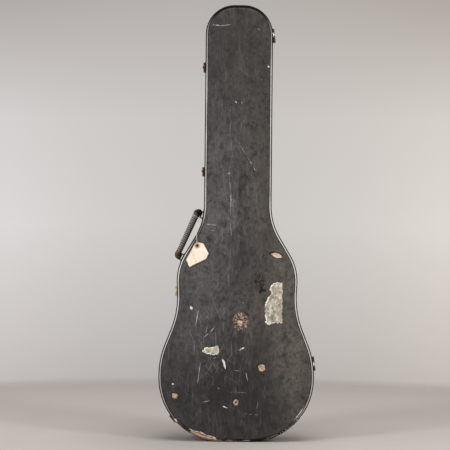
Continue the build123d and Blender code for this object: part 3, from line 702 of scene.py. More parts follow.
# ---- marks on the lid's face ----
# torn spots that show the wood: x, z, half-width, half-height, tilt in degrees, seed
TEARS = [
    (96.0, 456.5, 14.0, 7.4, -16.0, 11),
    (62.2, 182.0, 8.2, 8.4, 20.0, 12),
    (0.0, 97.0, 6.4, 7.2, 10.0, 13),
    (-149.5, 112.0, 8.0, 6.0, -34.0, 14),
    (8.0, 291.0, 7.6, 7.6, 180.0, 15),
]
# bright scuffs: x0, z0, x1, z1, half-width, strength
SCRATCHES = [
    (-65, 1018, -44, 1016, 1.2, 0.55), (-44, 1016, -22, 1019, 1.0, 0.45),
    (-8, 832, -5, 828, 1.6, 0.6), (-2, 812, 2, 815, 1.2, 0.45), (6, 830, 9, 827, 1.3, 0.5),
    (0, 732, 30, 684, 0.7, 0.35), (30, 684, 42, 664, 1.0, 0.7),
    (-20, 822, -21, 690, 0.6, 0.30), (-21, 690, -17, 554, 0.6, 0.38), (-18, 540, -15, 500, 0.7, 0.40),
    (-19, 470, -21, 378, 0.6, 0.30), (-42, 560, -40, 430, 0.6, 0.24), (12, 640, 14, 540, 0.6, 0.22),
    (-78, 531, -52, 529, 1.0, 0.45), (-70, 516, -54, 516, 0.8, 0.26),
    (-88, 193, -94, 142, 0.9, 0.50), (22, 177, 28, 150, 0.8, 0.50), (-15, 176, 11, 173, 0.7, 0.35),
    (-20, 122, 34, 120, 0.6, 0.28), (51, 81, 54, 98, 0.7, 0.30), (70, 140, 66, 108, 0.6, 0.22),
    (-94, 320, -100, 283, 0.9, 0.48), (-52, 283, -64, 268, 1.0, 0.50), (-64, 268, -80, 255, 0.8, 0.45),
    (-70, 290, -76, 262, 0.7, 0.35), (-40, 240, -46, 205, 0.7, 0.30), (-118, 250, -126, 214, 0.7, 0.30),
    (-35, 202, -31, 195, 3.6, 1.0), (-31, 197, -28, 184, 3.0, 1.0), (-28, 186, -27, 179, 1.8, 0.9),
    (11, 227, 18, 230, 2.2, 0.9), (8, 224, 12, 226, 1.4, 0.7),
    (-31, 87, -24, 84, 2.0, 0.9), (-24, 84, -19, 83, 1.3, 0.7), (-80, 97, -66, 100, 1.5, 0.35),
    (-66, 206, -63, 203, 1.6, 0.5), (-57, 204, -52, 205, 1.2, 0.4), (-44, 132, -42, 130, 1.4, 0.4),
    (-111.5, 328, -110.5, 325.5, 4.6, 1.0), (-155, 140.5, -154, 140, 2.8, 1.0),
    (71.5, 917.5, 72.5, 916.5, 3.0, 1.0), (-24, 655, -20, 657, 1.3, 0.5), (2, 652, 4, 650, 1.4, 0.5),
    (15, 342, 16, 339, 1.2, 0.45), (96, 560, 70, 600, 0.5, 0.16), (150, 250, 146, 190, 0.7, 0.2),
    (58, 1000, 66, 985, 1.0, 0.35), (66, 985, 70, 968, 0.9, 0.35), (40, 1012, 52, 1006, 0.9, 0.3),
    (30, 960, 46, 948, 0.8, 0.2), (-60, 950, -30, 948, 0.7, 0.2), (-38, 905, -20, 890, 0.7, 0.2),
    (44, 886, 68, 884, 0.7, 0.22), (-62, 870, -44, 866, 0.7, 0.2), (10, 70, 60, 66, 0.8, 0.25),
]
# where dust has settled, and where handling has kept it off, with painted light and shade in the same
# patches: x, z, reach across, reach along, amount
DUST_AND_SHADING = [
    (-75, 480, 70, 110, 0.46), (110, 430, 60, 90, 0.34), (150, 250, 45, 140, 0.42), (-50, 640, 44, 110, 0.28),
    (45, 640, 40, 110, 0.22), (-120, 330, 60, 80, 0.24), (20, 335, 70, 60, 0.20), (10, 110, 120, 90, -0.20),
    (-130, 130, 70, 90, -0.08), (165, 120, 45, 70, 0.18), (0, 970, 90, 90, -0.07), (0, 780, 90, 120, 0.06),
    (-110, 415, 34, 60, 0.12), (0, 165, 46, 44, -0.14), (105, 205, 44, 80, 0.24), (-112, 215, 50, 70, 0.13),
    (0, 545, 60, 46, 0.12), (100, 425, 40, 60, 0.10),
]
# the sticker's remains, the cracked patch and the torn rim: x, z, half-width, half-height
FINE_ZONES = [(10.0, 292.0, 24.0, 30.0), (58.0, 388.0, 20.0, 32.0), (-82.0, 24.0, 38.0, 22.0)]
# outline of what is left of the label: x, z
LABEL = [(111, 389), (111, 292), (108, 290), (104, 293), (100, 289), (96, 292), (92, 290), (84, 289),
         (77, 286), (72, 290), (69, 294), (72, 298), (70, 303), (69, 325), (70, 341), (73, 349), (78, 356),
         (83, 361), (83, 366), (80, 371), (82, 381), (85, 385), (89, 388), (98, 391), (106, 389)]
CRUMPLED, ROUND_TEAR, ROUND_TEAR_LOW, CORNER_TEAR, BARE_TRIANGLE = [tear[5] for tear in TEARS]


def off_segment(x, z, x0, z0, x1, z1):
    """Distance from a segment, and how far along it, from 0 to 1."""
    dx, dz = x1 - x0, z1 - z0
    share = np.clip(((x - x0) * dx + (z - z0) * dz) / (dx * dx + dz * dz), 0.0, 1.0)
    return np.hypot(x - x0 - share * dx, z - z0 - share * dz), share


def full_turn(count):
    """Angles spaced evenly round a circle."""
    return np.linspace(0, 2 * math.pi, count, endpoint=False)


def turned(p, q, angle):
    """Coordinates turned anticlockwise by an angle."""
    return p * math.cos(angle) - q * math.sin(angle), p * math.sin(angle) + q * math.cos(angle)


def bell(away, width):
    """1 in the middle, falling off smoothly to 0.37 a width away."""
    return np.exp(-(away / width) ** 2)


def blob(x, z, cx, cz, wide, tall, power=1):
    """The same round a point; a higher power gives a flatter middle."""
    return np.exp(-(((x - cx) / wide) ** 2 + ((z - cz) / tall) ** 2) ** power)


def tear_reach(x, z, tear):
    """Ragged radius of a torn spot: below 1 is inside."""
    cx, cz, wide, tall, tilt, seed = tear
    p, q = turned(x - cx, z - cz, -math.radians(tilt))
    angle = np.arctan2(q / tall, p / wide)
    rough = 0.17 if seed in (ROUND_TEAR, ROUND_TEAR_LOW) else 0.30
    ragged = 1.0 + rough * field(np.cos(angle) * 2.2, np.sin(angle) * 2.2, 0.8, seed)
    if seed == BARE_TRIANGLE:
        ragged = ragged * (0.72 + 0.42 * np.abs(np.cos(1.5 * (angle - math.pi / 2.0))))
    if seed == CRUMPLED:
        ragged = ragged * (1.0 - 0.22 * np.abs(np.sin(angle)))
    return np.hypot(p / wide, q / tall) / ragged


ring_low, ring_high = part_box("tag_ring")
HOLE = ((ring_low.x + ring_high.x) / 2.0, (ring_low.z + ring_high.z) / 2.0)  # the tag's, in metres


def lid_marks(x, z, edge):
    """Height and masks of the lid's covering."""
    def noise(cell, seed):
        return field(x, z, cell, seed)

    def mark(name, amount):
        masks[name] = np.maximum(masks[name], amount)

    masks = {name: np.zeros(len(x)) for name in ("pale", "bare", "stain", "dark", "soiled")}
    height = 0.10 * noise((60.0, 110.0), 21) + 0.05 * noise((18.0, 40.0), 22) + 0.03 * noise((5.0, 60.0), 23)
    height = height * ease(0.0, 8.0, edge)
    # scratches
    skip = np.clip(0.80 + 1.1 * noise((6.0, 16.0), 49), 0.0, 1.15)
    wavy_x = x + 0.5 * noise(16.0, 28)
    for x0, z0, x1, z1, half, strength in SCRATCHES:
        away, share = off_segment(wavy_x, z, x0, z0, x1, z1)
        ends = 0.35 + 0.65 * np.sin(np.pi * np.clip(share, 0.02, 0.98)) ** 0.5
        here = strength * skip * ends * (1.0 - ease(0.35 * half, half, away))
        mark("pale", here)
        height -= 0.14 * here
    # torn spots, with a raised rim
    for tear in TEARS:
        reach, seed = tear_reach(x, z, tear), tear[5]
        hole = 1.0 - ease(0.93, 1.0, reach)
        height += -0.72 * hole + 0.34 * bell(reach - 1.14, 0.10)
        mark("bare", hole)
        mark("stain", 0.9 * bell(reach - 1.1, 0.22))
        if seed in (ROUND_TEAR, ROUND_TEAR_LOW, CORNER_TEAR):
            mark("soiled", ease(1.3, 1.0, reach))
        if seed != BARE_TRIANGLE:
            shady = 0.45 + 0.35 * ease(-4.0, 4.0, z - tear[1]) + 0.25 * noise(4.0, 48)
            mark("dark", shady * bell(reach - 1.34, 0.13))
    # the plug left in the lowest round tear
    plug = 1.0 - ease(2.6, 3.4, np.hypot(x - TEARS[2][0], (z - TEARS[2][1]) * 0.9))
    masks["bare"] *= 1.0 - plug
    height += 0.5 * plug
    mark("stain", 0.8 * plug)
    # the sticker's remains, smeared and dripping
    sticker = blob(x, z, 10.0, 296.0, 15.0, 18.0, 2)
    mark("stain", 0.95 * sticker)
    mark("dark", 0.8 * sticker * ease(0.1, 0.5, noise(3.2, 32)))
    mark("dark", 0.62 * blob(x, z, 12.0, 300.0, 24.0, 27.0, 2) * ease(0.05, 0.6, noise((4.0, 5.0), 38)))
    mark("dark", 0.6 * blob(x, z, 10.0, 266.0, 6.0, 16.0) * ease(-0.1, 0.5, noise((2.5, 8.0), 33)))
    # painted shadow on the lid round the tag's hole
    mark("dark", 1.0 - ease(3.5, 5.5, np.hypot(x - HOLE[0] / MM, z - HOLE[1] / MM)))
    # the cracked patch above the label, with a star-shaped hole
    crazed = blob(x, z, 53.0, 394.0, 19.0, 21.0, 2)
    cracks = ease(0.34, 0.10, np.abs(noise((5.0, 4.5), 34))) * crazed
    points_of_star = 2.6 * np.cos(3.0 * np.arctan2(z - 372.0, x - 61.0) + 0.6)
    star = np.hypot(x - 61.0, z - 371.0) / (7.2 + points_of_star + 1.2 * noise(2.5, 37))
    star = 1.0 - ease(0.85, 1.1, star)
    mark("dark", np.maximum(0.42 * cracks, star))
    mark("stain", 0.30 * crazed * ease(-0.2, 0.5, noise(6.0, 35)))
    height -= 0.45 * star + 0.16 * cracks - 0.12 * crazed * noise(4.0, 36)
    # the torn stretch of the rim, low at the left, and the worn rim low at the right
    raw = ease(-118.0, -104.0, x) * ease(-44.0, -58.0, x) * ease(70.0, 50.0, z)
    torn_in = raw * (4.0 + 2.6 * noise((9.0, 30.0), 39) + 1.3 * noise(2.4, 40))
    open_wood = (1.0 - ease(-0.25, 0.25, edge - torn_in)) * (raw > 0.05)
    torn_rim = bell(edge - torn_in - 0.9, 0.8) * (raw > 0.3)
    mark("bare", open_wood)
    mark("pale", torn_rim * (0.85 + 0.6 * noise(3.0, 45)))
    height += 0.25 * torn_rim - 0.65 * open_wood
    rim_wear = blob(x, z, 150.0, 74.0, 16.0, 20.0) * ease(3.5, 0.5, edge)
    mark("pale", rim_wear * (0.9 + 0.8 * noise(3.5, 46)))
    # dust, which also paints light and shade, darker low down and in a band down the middle; rubbing and
    # hairlines
    dust = 0.14 + 0.07 * noise((30.0, 90.0), 41) + 0.05 * noise((9.0, 50.0), 42)
    dust += sum(amount * blob(x, z, cx, cz, wide, tall) for cx, cz, wide, tall, amount in DUST_AND_SHADING)
    dust -= 0.16 * np.clip(noise((13.0, 11.0), 44), 0, 1) * ease(330, 120, z)
    band = bell(x - 6.0, 12.0) * ease(385, 440, z) * ease(700, 640, z)
    dust -= band * (0.16 + 0.12 * noise((6.0, 40.0), 47)) + 0.05 * blob(x, z, 91.0, 340.0, 30.0, 60.0, 2)
    rub = 0.35 + 0.55 * bell(x + 2.0, 42.0) * ease(60, 260, z) * ease(900, 700, z)
    rub += 0.35 * blob(x, z, -85.0, 240.0, 40.0, 80.0)
    hair = 0.10 + 0.75 * blob(x, z, -50.0, 265.0, 52.0, 100.0)
    hair += 0.35 * bell(x + 22.0, 26.0) * ease(380, 480, z) * ease(860, 700, z)
    masks.update(dust=np.clip(dust, -0.08, 1.0), rub=rub, hair=np.clip(hair, 0.0, 1.0), craze=crazed,
                 warm=ease(-70.0, 60.0, x + 40.0 * noise(90.0, 43) + 0.06 * (z - 500.0)),
                 raw=1.0 * (raw > 0.02), stain=np.clip(masks["stain"], 0, 1))
    return height, masks


def mark_points():
    """Extra mesh points that keep the rims of tears and the scratches crisp, in metres."""
    points = []
    for tear in TEARS:
        cx, cz, wide, tall, tilt, _ = tear
        a = full_turn(int(2.0 * math.pi * max(wide, tall) / 0.9))
        off = np.stack(turned(wide * np.cos(a), tall * np.sin(a), math.radians(tilt)), axis=1)
        off = off / tear_reach(cx + off[:, 0], cz + off[:, 1], tear)[:, None]
        points += [(cx, cz) + off * level for level in (0.5, 0.92, 1.0, 1.12, 1.3)]
    for x0, z0, x1, z1, half, _ in SCRATCHES:
        length = math.hypot(x1 - x0, z1 - z0)
        share = np.linspace(0.0, 1.0, max(3, int(length / 1.3)))
        side = np.array([-(z1 - z0), x1 - x0]) / length
        middle = np.stack([x0 + share * (x1 - x0), z0 + share * (z1 - z0)], axis=1)
        points += [middle + off * side for off in (-half - 0.15, 0.0, half + 0.15)]
        for reach in (0.3 * half, 0.65 * half, half + 0.2) if half > 1.8 else ():
            a = full_turn(max(6, int(7.0 * reach)))
            off = reach * np.stack([np.cos(a), np.sin(a)], axis=1)
            points += [middle[0] + off, middle[-1] + off]
    rng = np.random.default_rng(5)
    for cx, cz, wide, tall in FINE_ZONES:
        across, along = np.meshgrid(np.arange(-wide, wide, 1.1), np.arange(-tall, tall, 1.1))
        spread = np.stack([across, along], -1).reshape(-1, 2)
        points.append(spread + rng.uniform(-0.3, 0.3, spread.shape) + (cx, cz))
    found = np.vstack(points) * MM
    order = np.unique(np.round(found / 0.00055).astype(int), axis=0, return_index=True)[1]
    return found[np.sort(order)]


# ---- lid and base: faces and rolled edges ----
COVER_LOOP = resampled(rim("lid_face_covering"), 0.0026)
COVER_OUT = outward(COVER_LOOP)
COVER_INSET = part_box("lid_edge_welt")[1].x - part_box("lid_face_covering")[1].x
OUTLINE = COVER_LOOP + COVER_OUT * COVER_INSET
FACE_INSET = 6.8 * MM  # from the outline to the flat faces, which begin under the rolled edges


def edge_wear_and_highlight():
    """Masks along the lid's edge, one value for each point of the outline."""
    def patchy(base, share, cell, seed):
        return np.clip(base + share * field(x, z, cell, seed), 0, 1)

    x, z = OUTLINE[:, 0] / MM, OUTLINE[:, 1] / MM
    # the crown's pale line, partly wear and partly a painted highlight: along the sides, dimmer towards the
    # head, none across the head's top
    side = ease(20.0, 110.0, z) * ease(1052.0, 985.0, z)
    side *= 0.64 + 0.36 * ease(120.0, 400.0, z)
    side *= 1.0 - 0.16 * ease(560.0, 640.0, z) - 0.30 * ease(880.0, 960.0, z)
    tail = 0.22 * ease(40, 0, z) * patchy(0.5, 1.0, 14.0, 52)
    crown = np.maximum(side * patchy(0.88, 0.22, 34.0, 51), tail)
    crown *= 1.0 - 0.75 * np.exp(-(((x + 98) / 34.0) ** 2 + ((z - 500) / 52.0) ** 4))
    nick = blob(x, z, -148.0, 52.0, 7.0, 9.0)
    torn = ease(-116.0, -108.0, x) * ease(-42.0, -50.0, x) * ease(60.0, 40.0, z)
    frayed = [nick, 0.95 * blob(x, z, 158.0, 78.0, 14.0, 16.0),
              0.42 * ease(-30, -20, x) * ease(62, 50, x) * ease(30, 10, z),
              0.62 * ease(64, 92, x) * ease(110, 84, z),
              0.5 * ease(-142, -130, x) * ease(-104, -112, x) * ease(60, 45, z)]
    brown = 0.7 * ease(120.0, 30.0, z) * patchy(0.4, 1.0, 16.0, 53)
    return crown, np.maximum(torn, 0.38 * nick), np.maximum.reduce(frayed), brown


# section of the rolled edge: inset from the outline, and depth in from the face, in mm
ROLL = [(0.0, 5.1), (0.0, 4.2), (0.12, 3.1), (0.5, 2.1), (1.1, 1.25), (1.9, 0.62), (2.7, 0.25), (3.5, 0.06),
        (4.3, 0.0), (5.1, 0.07), (5.9, 0.26), (6.6, 0.52), (7.1, 0.85), (7.2, 1.1), (5.1, 1.1), (0.8, 5.1)]


def rolled_edge(name, face_y, body, node, strengths):
    """The covering rolled over a face's edge, with its pale crown (partly worn, partly a painted highlight)
    and its torn stretch.
    """
    sign = 1.0 if face_y < 0 else -1.0
    crown, torn, frayed, brown = [strength * wear for strength, wear in zip(strengths, edge_wear_and_highlight())]
    n, m = len(OUTLINE), len(ROLL)
    verts, masks = [], {k: [] for k in ("crown", "bare", "fringe", "brown")}
    jag = np.random.default_rng(61).uniform(-1, 1, n)
    jag = (jag + np.roll(jag, 1)) / 1.6
    for k, (inset, depth) in enumerate(ROLL):
        surface = 0 < k < m - 3
        rise = math.sin(math.pi * min(1.0, k / (m - 4))) if surface else 0.0
        sunk = torn * rise * (1.0 + 0.25 * jag)
        wave = 0.12 * field(OUTLINE[:, 0] / MM + 3 * k, OUTLINE[:, 1] / MM, (7.0, 11.0), 62) * rise
        inward = inset + 0.6 * sunk * (inset < 3.6)
        deep = depth + sunk + (0.10 + wave) * rise * (0.3 + 0.7 * frayed)
        verts.append(at_depth(OUTLINE - COVER_OUT * (inward * MM)[:, None], face_y + sign * deep * MM))
        masks["crown"].append(crown * (math.exp(-((inset - 3.9) / 1.12) ** 4) if surface else 0.0))
        masks["bare"].append(torn * (surface and inset < 6.0))
        masks["fringe"].append(torn * (0.95 if 5.4 < inset < 7.0 else 0.25)
                               + frayed * (0.60 if 1.0 < inset < 5.5 else 0.3))
        masks["brown"].append(brown * (1.0 if inset < 3.0 else 0.35))
    piece = add_piece(name, np.vstack(verts), ring_faces(m, n, closed=True), EDGE, body,
                      {k: np.concatenate(v) for k, v in masks.items()})
    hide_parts(node)


# the strengths are those of the crown's wear and painted highlight, the torn stretch, the fraying and the
# brown
rolled_edge("lid_rolled_edge", FACE_Y, "lid", "lid_edge_welt", (1.0, 1.0, 1.0, 1.0))
rolled_edge("base_rolled_edge", BACK_Y, "base", "base_edge_welt", (0.6, 0.0, 0.4, 0.8))

face_low, face_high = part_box("lid_face_covering")
lid_face = panel("lid_leatherette_face", resampled(OUTLINE - COVER_OUT * FACE_INSET, 0.0024), face_low.y,
                 face_high.y, 0.0026, lid_marks, LEATHERETTE, "lid", mark_points())
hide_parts("lid_face_covering")


def back_marks(x, z, edge):
    """Height and masks of the base's covering: rubbed where it has lain and been slid."""
    height = 0.12 * field(x, z, (70.0, 120.0), 71) + 0.05 * field(x, z, (20.0, 36.0), 72)
    height = height * ease(0.0, 8.0, edge)
    pale = np.zeros(len(x))
    rng = np.random.default_rng(73)
    for _ in range(46):
        x0, z0 = rng.uniform(-150, 150), rng.uniform(30, 1030)
        lean, length = rng.normal(0.0, 0.35), rng.uniform(12, 90)
        away, share = off_segment(x, z, x0, z0, x0 + length * math.sin(lean), z0 + length * math.cos(lean))
        here = rng.uniform(0.2, 0.6) * (1.0 - ease(0.4, 1.9, away))
        here *= 0.4 + 0.6 * np.sin(np.pi * share)
        pale = np.maximum(pale, here)
        height -= 0.1 * here
    belly = blob(x, z, 0.0, 190.0, 120.0, 130.0)
    dust = 0.34 + 0.20 * belly + 0.10 * field(x, z, (40.0, 120.0), 74) + 0.14 * bell(z - 980.0, 70.0)
    return height, {"pale": pale, "dust": np.clip(dust, 0, 1), "rub": 0.4 + 0.5 * belly,
                    "warm": ease(-60, 60, x)}


back_low, back_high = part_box("base_back_covering")
back_face = panel("base_leatherette_back", resampled(OUTLINE - COVER_OUT * FACE_INSET, 0.004), back_high.y,
                  back_low.y, 0.0045, back_marks, LEATHERETTE, "base")
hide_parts("base_back_covering")


# ---- tape, label and sticker remains on the lid ----
def ragged(corners, rough, seed, step=1.4):
    """A torn outline through corners in mm, returned in metres."""
    loop = resampled(np.array(corners, float), step)
    out = outward(loop, 2)
    shake = field(np.arange(len(loop)) * 1.0, np.zeros(len(loop)), 1.6, seed)
    return (loop + out * (rough * shake)[:, None]) * MM


def tape_piece(name, corners, rough, seed, lift=0.5):
    """A scrap of tape or of the label on the lid, wrinkled and peeled at its left and its foot."""
    loop = ragged(corners, rough, seed)
    low, high = loop.min(axis=0) / MM, loop.max(axis=0) / MM

    def shape(x, z, edge):
        def noise(cell, step):
            return field(x, z, cell, seed + step)

        height = 0.20 + 0.16 * noise((3.0, 9.0), 1) + 0.10 * noise((9.0, 4.0), 2)
        curl = lift * np.exp(-edge / 1.6) * np.clip(noise(8.0, 3), 0, 1)
        peeled = np.maximum(ease(0.62, 0.35, (x - low[0]) / (high[0] - low[0])),
                            ease(0.14, 0.06, (z - low[1]) / (high[1] - low[1])))
        torn = ease(4.2, 1.6, edge) * ease(-0.30, 0.25, noise((6.0, 8.0), 4))
        return height + curl, {"torn": torn * (0.30 + 0.70 * peeled)}

    panel(name, loop, face_low.y - 0.12 * MM, face_low.y + 0.25 * MM, 0.0016, shape, TAPE, "lid")


tape_piece("label_remains", LABEL, 1.5, 81)
tape_piece("tape_scrap", [(-76, 216), (-80, 224), (-77, 229), (-44, 234), (-42, 222), (-43, 214), (-58, 212)],
           1.5, 86)
tape_piece("tape_speck_upper", [(-84, 219), (-82, 224), (-78, 225), (-79, 217)], 0.6, 91, 0.2)


def flakes():
    """Crazed remains of a sticker: small flakes that point away from a bare triangle."""
    rng = np.random.default_rng(95)
    verts, faces, cream = [], [], []
    for _ in range(190):
        angle, reach = rng.uniform(0, 2 * math.pi), rng.uniform(0.24, 1.12) ** 0.8
        cx, cz = 10.0 + 17.5 * reach * math.cos(angle), 295.0 + 20.0 * reach * math.sin(angle)
        size, turn = rng.uniform(0.5, 1.45), angle + rng.normal(0.0, 0.4)
        cream += [rng.uniform(0.0, 0.9) ** 2.6] * 12
        ring = []
        for a in full_turn(6):
            r = size * rng.uniform(0.7, 1.2)
            ring.append(turned(2.4 * r * math.cos(a), 0.75 * r * math.sin(a), turn))
        faces += capped_faces(2, 6, len(verts))
        for grow, sunk in ((1.0, 0.3), (0.86, -rng.uniform(0.10, 0.40))):
            verts += [((cx + x * grow) * MM, face_low.y + sunk * MM, (cz + z * grow) * MM) for x, z in ring]
    add_piece("sticker_flakes", verts, faces, RESIDUE, "lid", {"cream": cream}, smooth=False)


flakes()


def fringe():
    """Ragged paper backing and threads that stand out where the edge is torn."""
    rng = np.random.default_rng(97)
    _, torn, frayed, _ = edge_wear_and_highlight()
    surface_inset, surface_depth = zip(*ROLL[:13])
    verts, faces = [], []
    for i in rng.choice(len(OUTLINE), 900):
        if rng.uniform() > max(torn[i] * 0.55, frayed[i] * 0.75):
            continue
        out = COVER_OUT[i]
        side = np.array([-out[1], out[0]])
        inset = rng.uniform(5.2, 7.6) if torn[i] > 0.3 else rng.uniform(0.4, 3.2)
        base = OUTLINE[i] - out * inset * MM
        length, wide = rng.uniform(0.8, 2.6), rng.uniform(0.15, 0.5)
        lean = side * rng.normal(0.0, 1.0) + out * rng.uniform(-0.6, 0.5)
        lean = lean / np.linalg.norm(lean)
        tip = base + lean * length * MM
        tip = tip - out * max(0.0, float((tip - OUTLINE[i]) @ out))
        across = np.array([-lean[1], lean[0]]) * wide * MM
        y = FACE_Y + (np.interp(inset, surface_inset, surface_depth) + 0.15) * MM
        raised = rng.uniform(0.1, 0.5) * MM
        faces += capped_faces(2, 4, len(verts))
        for level in (y, y + 0.14 * MM):
            verts += [(x, level, max(0.0, z)) for x, z in (base + across, base - across)]
            verts += [(x, level - raised, max(0.0, z)) for x, z in (tip - across * 0.2, tip + across * 0.2)]
    add_piece("torn_edge_fringe", verts, faces, RESIDUE, "lid",
              {"cream": np.random.default_rng(98).uniform(0.5, 1.0, len(verts))}, smooth=False)


fringe()


# ---- handle ----
swing = next(j for j in RECORD["behaviour"]["joints"] if j["name"] == "handle_swing")
PIVOT = Vector(swing["pos_m"])
DOWN = Vector(swing["axis"]).normalized()
if DOWN.z > 0:
    DOWN = -DOWN
OUT = Vector((0, 1, 0)).cross(DOWN)
grip_points = np.array([v.co for v in NODES["handle_grip"].data.vertices]) - np.array(PIVOT)
# the CAD grip's reach down its chord (u) and out from its pivot line (n), in mm
GRIP_U, GRIP_N = [(along.min() / MM, along.max() / MM)
                  for along in (grip_points @ np.array(DOWN), grip_points @ np.array(OUT))]
GRIP_HALF, RIB_GAP, STITCH_GAP = 8.6, 5.2, 2.4  # thickness of the bar, and the steps along it


def at_handle(u, n, y):
    """A place by the handle: down its chord, off its pivot line and through the depth, in mm."""
    return PIVOT + DOWN * (u * MM) + OUT * (n * MM) + Vector((0, y * MM, 0))


def bar_height(u):
    """How far out the middle of the grip's bar is, u down its chord, in mm."""
    return GRIP_N[1] - 5.4 - 1.9 * float(ease(GRIP_U[0], GRIP_U[1], u))


def grip_line():
    """Middle line of the grip as (u, n, direction angle): up a leg, along the bar and down."""
    bend = 5.0
    left, right = GRIP_U[0] + 4.0, GRIP_U[1] - 4.0
    low, first, last = GRIP_N[0], bar_height(left), bar_height(right)
    quarter = np.linspace(0, math.pi / 2, 9)
    line = [(left, n, 90.0) for n in np.linspace(low, first - bend, 4)[:-1]]
    line += [(left + bend - bend * math.cos(a), first - bend + bend * math.sin(a), 90.0 - math.degrees(a))
             for a in quarter]
    line += [(u, bar_height(u), 0.0) for u in np.linspace(left + bend, right - bend, 150)[1:-1]]
    line += [(right - bend + bend * math.sin(a), last - bend + bend * math.cos(a), -math.degrees(a))
             for a in quarter]
    return line + [(right, n, -90.0) for n in np.linspace(last - bend, low, 4)[1:]]


def power(value, exponent):
    """A power that keeps the sign, for squarish sections."""
    return math.copysign(abs(value) ** exponent, value)


def handle():
    """Padded leather grip with hatched ribs over its bar."""
    line = grip_line()
    run = np.concatenate([[0], np.cumsum([math.dist(a[:2], b[:2]) for a, b in zip(line, line[1:])])])
    total, sides = run[-1], 28
    verts, rib, knob, brown = [], [], [], []
    for s, (u, n, heading) in zip(run, line):
        turn = math.radians(heading)
        end = min(s, total - s)
        bar = ease(9.0, 13.0, end)
        swell = 1.0 + 0.12 * bell(end - 9.0, 5.0)
        half = (5.4 + 3.4 * ease(0.0, 9.0, end)) * swell
        thick = GRIP_HALF * (0.93 + 0.05 * swell) * (1.0 - 0.10 * bar) * (1.06 - 0.16 * s / total)
        wave = math.cos(2.0 * math.pi * s / RIB_GAP)
        hatch = bar * (0.12 + 0.88 * ease(-0.3, 0.5, wave))
        for a in full_turn(sides):
            c, q = math.cos(a), math.sin(a)
            ridge = bar * max(0.0, q + 0.35) * wave
            y = half * power(c, 0.8) * (1.0 if q > 0 else 1.0 - 0.18 * q * q) + 0.30 * ridge * c
            m = thick * power(q, 0.85) + 0.42 * ridge
            verts.append(at_handle(u - math.sin(turn) * m, n + math.cos(turn) * m, y))
            rib.append(hatch * ease(-0.85, -0.55, q) * (0.50 + 0.50 * abs(q)))
        knob += [0.6 * ease(12.0, 7.0, s)] * sides
        brown += [0.8 * ease(24.0, 10.0, total - s)] * sides
    grip = add_piece("handle_leather_grip", verts, capped_faces(len(line), sides), HANDLE_LEATHER, "handle",
                     {"rib": rib, "knob": knob, "brown": brown})
    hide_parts("handle_grip")
    sharpen(grip, 60)


def stitches():
    """Two rows of stitches along each side of the bar."""
    verts, faces = [], []
    for side in (-1, 1):
        for u in np.arange(GRIP_U[0] + 20.0, GRIP_U[1] - 20.0, STITCH_GAP):
            for level, half in ((-2.4, 8.55), (2.2, 8.25)):
                faces += capped_faces(5, 6, len(verts))
                for t in np.linspace(-1.0, 1.0, 5):
                    r = 0.42 * math.sqrt(max(0.02, 1.0 - t * t)) + 0.05
                    for a in full_turn(6):
                        off = bar_height(u) + level + r * math.sin(a) + 0.3 * t
                        verts.append(at_handle(u + 0.95 * t, off, side * (half + r * math.cos(a))))
    add_piece("handle_stitches", verts, faces, STITCH, "handle")


handle()
stitches()

# a turn of the string round the grip, near its upper end
loop_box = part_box("tag_string_loop")
loop_u = ((loop_box[0] + loop_box[1]) / 2.0 - PIVOT).dot(DOWN) / MM
turn_points = []
for part_turn in np.linspace(0.0, 1.0, 17):
    a = 2.0 * math.pi * part_turn
    turn_points.append(at_handle(loop_u + 0.8 * (part_turn - 0.5), bar_height(loop_u) + 8.3 * math.sin(a),
                                 9.5 * power(math.cos(a), 0.8)))
loop_piece = string_curve("tag_string_turn", turn_points, "handle")
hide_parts("tag_string_loop")

# ---- paper tag ----
tag_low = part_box("paper_tag")[0]
TAG_Y, TAG_THICK, TAG_LEAN = tag_low.y + 0.5 * MM, 0.35 * MM, 26.6  # its lean is in degrees
HOLE_R, RING_R = 2.2 * MM, (ring_high.x - ring_low.x) / 2.0


def circle(radius, count):
    a = full_turn(count)
    return np.stack([HOLE[0] + radius * np.cos(a), HOLE[1] + radius * np.sin(a)], axis=1)


def along_tag(x, z):
    """Places from the tag's hole, across and along the tag, which hangs at an angle."""
    return turned(x - HOLE[0] / MM, z - HOLE[1] / MM, -math.radians(TAG_LEAN))


def tag_lift(x, z):
    """How far the tag's paper stands off the lid, in mm."""
    p, q = along_tag(x, z)
    curl = 3.0 * ease(-4.0, -40.0, q) + 1.6 * ease(-4.0, 22.0, p) * ease(0.0, -20.0, q)
    crease = -0.55 * bell(p + 18.0 - 0.06 * q, 1.3)
    return 0.5 + curl + crease + 0.25 * field(x, z, (14.0, 20.0), 101)


def tag_shape(x, z, edge):
    """The tag's lift, and its grime: round the ring, in the fold, in a smudge and at the rim."""
    p, q = along_tag(x, z)
    fold = 0.60 * bell(p + 18.0 - 0.06 * q, 0.9) * ease(2.0, -6.0, q)
    grime = np.maximum.reduce([0.75 * bell(np.hypot(p, q) - 5.5, 2.2), fold, 0.4 * ease(1.6, 0.2, edge),
                               0.06 * blob(p, q, -2.0, -17.0, 6.0, 2.6)])
    return tag_lift(x, z), {"grime": grime}


tag_loop = ragged(rim("paper_tag") / MM, 0.28, 103, 1.2)
tag_loop = np.array(HOLE) + 0.982 * (tag_loop - np.array(HOLE))
tag = paper_sheet("tag_manila_paper", tag_loop, circle(HOLE_R, 20)[::-1], TAG_Y, TAG_THICK, 0.0016,
                  tag_shape, PAPER, "lid")
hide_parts("paper_tag")

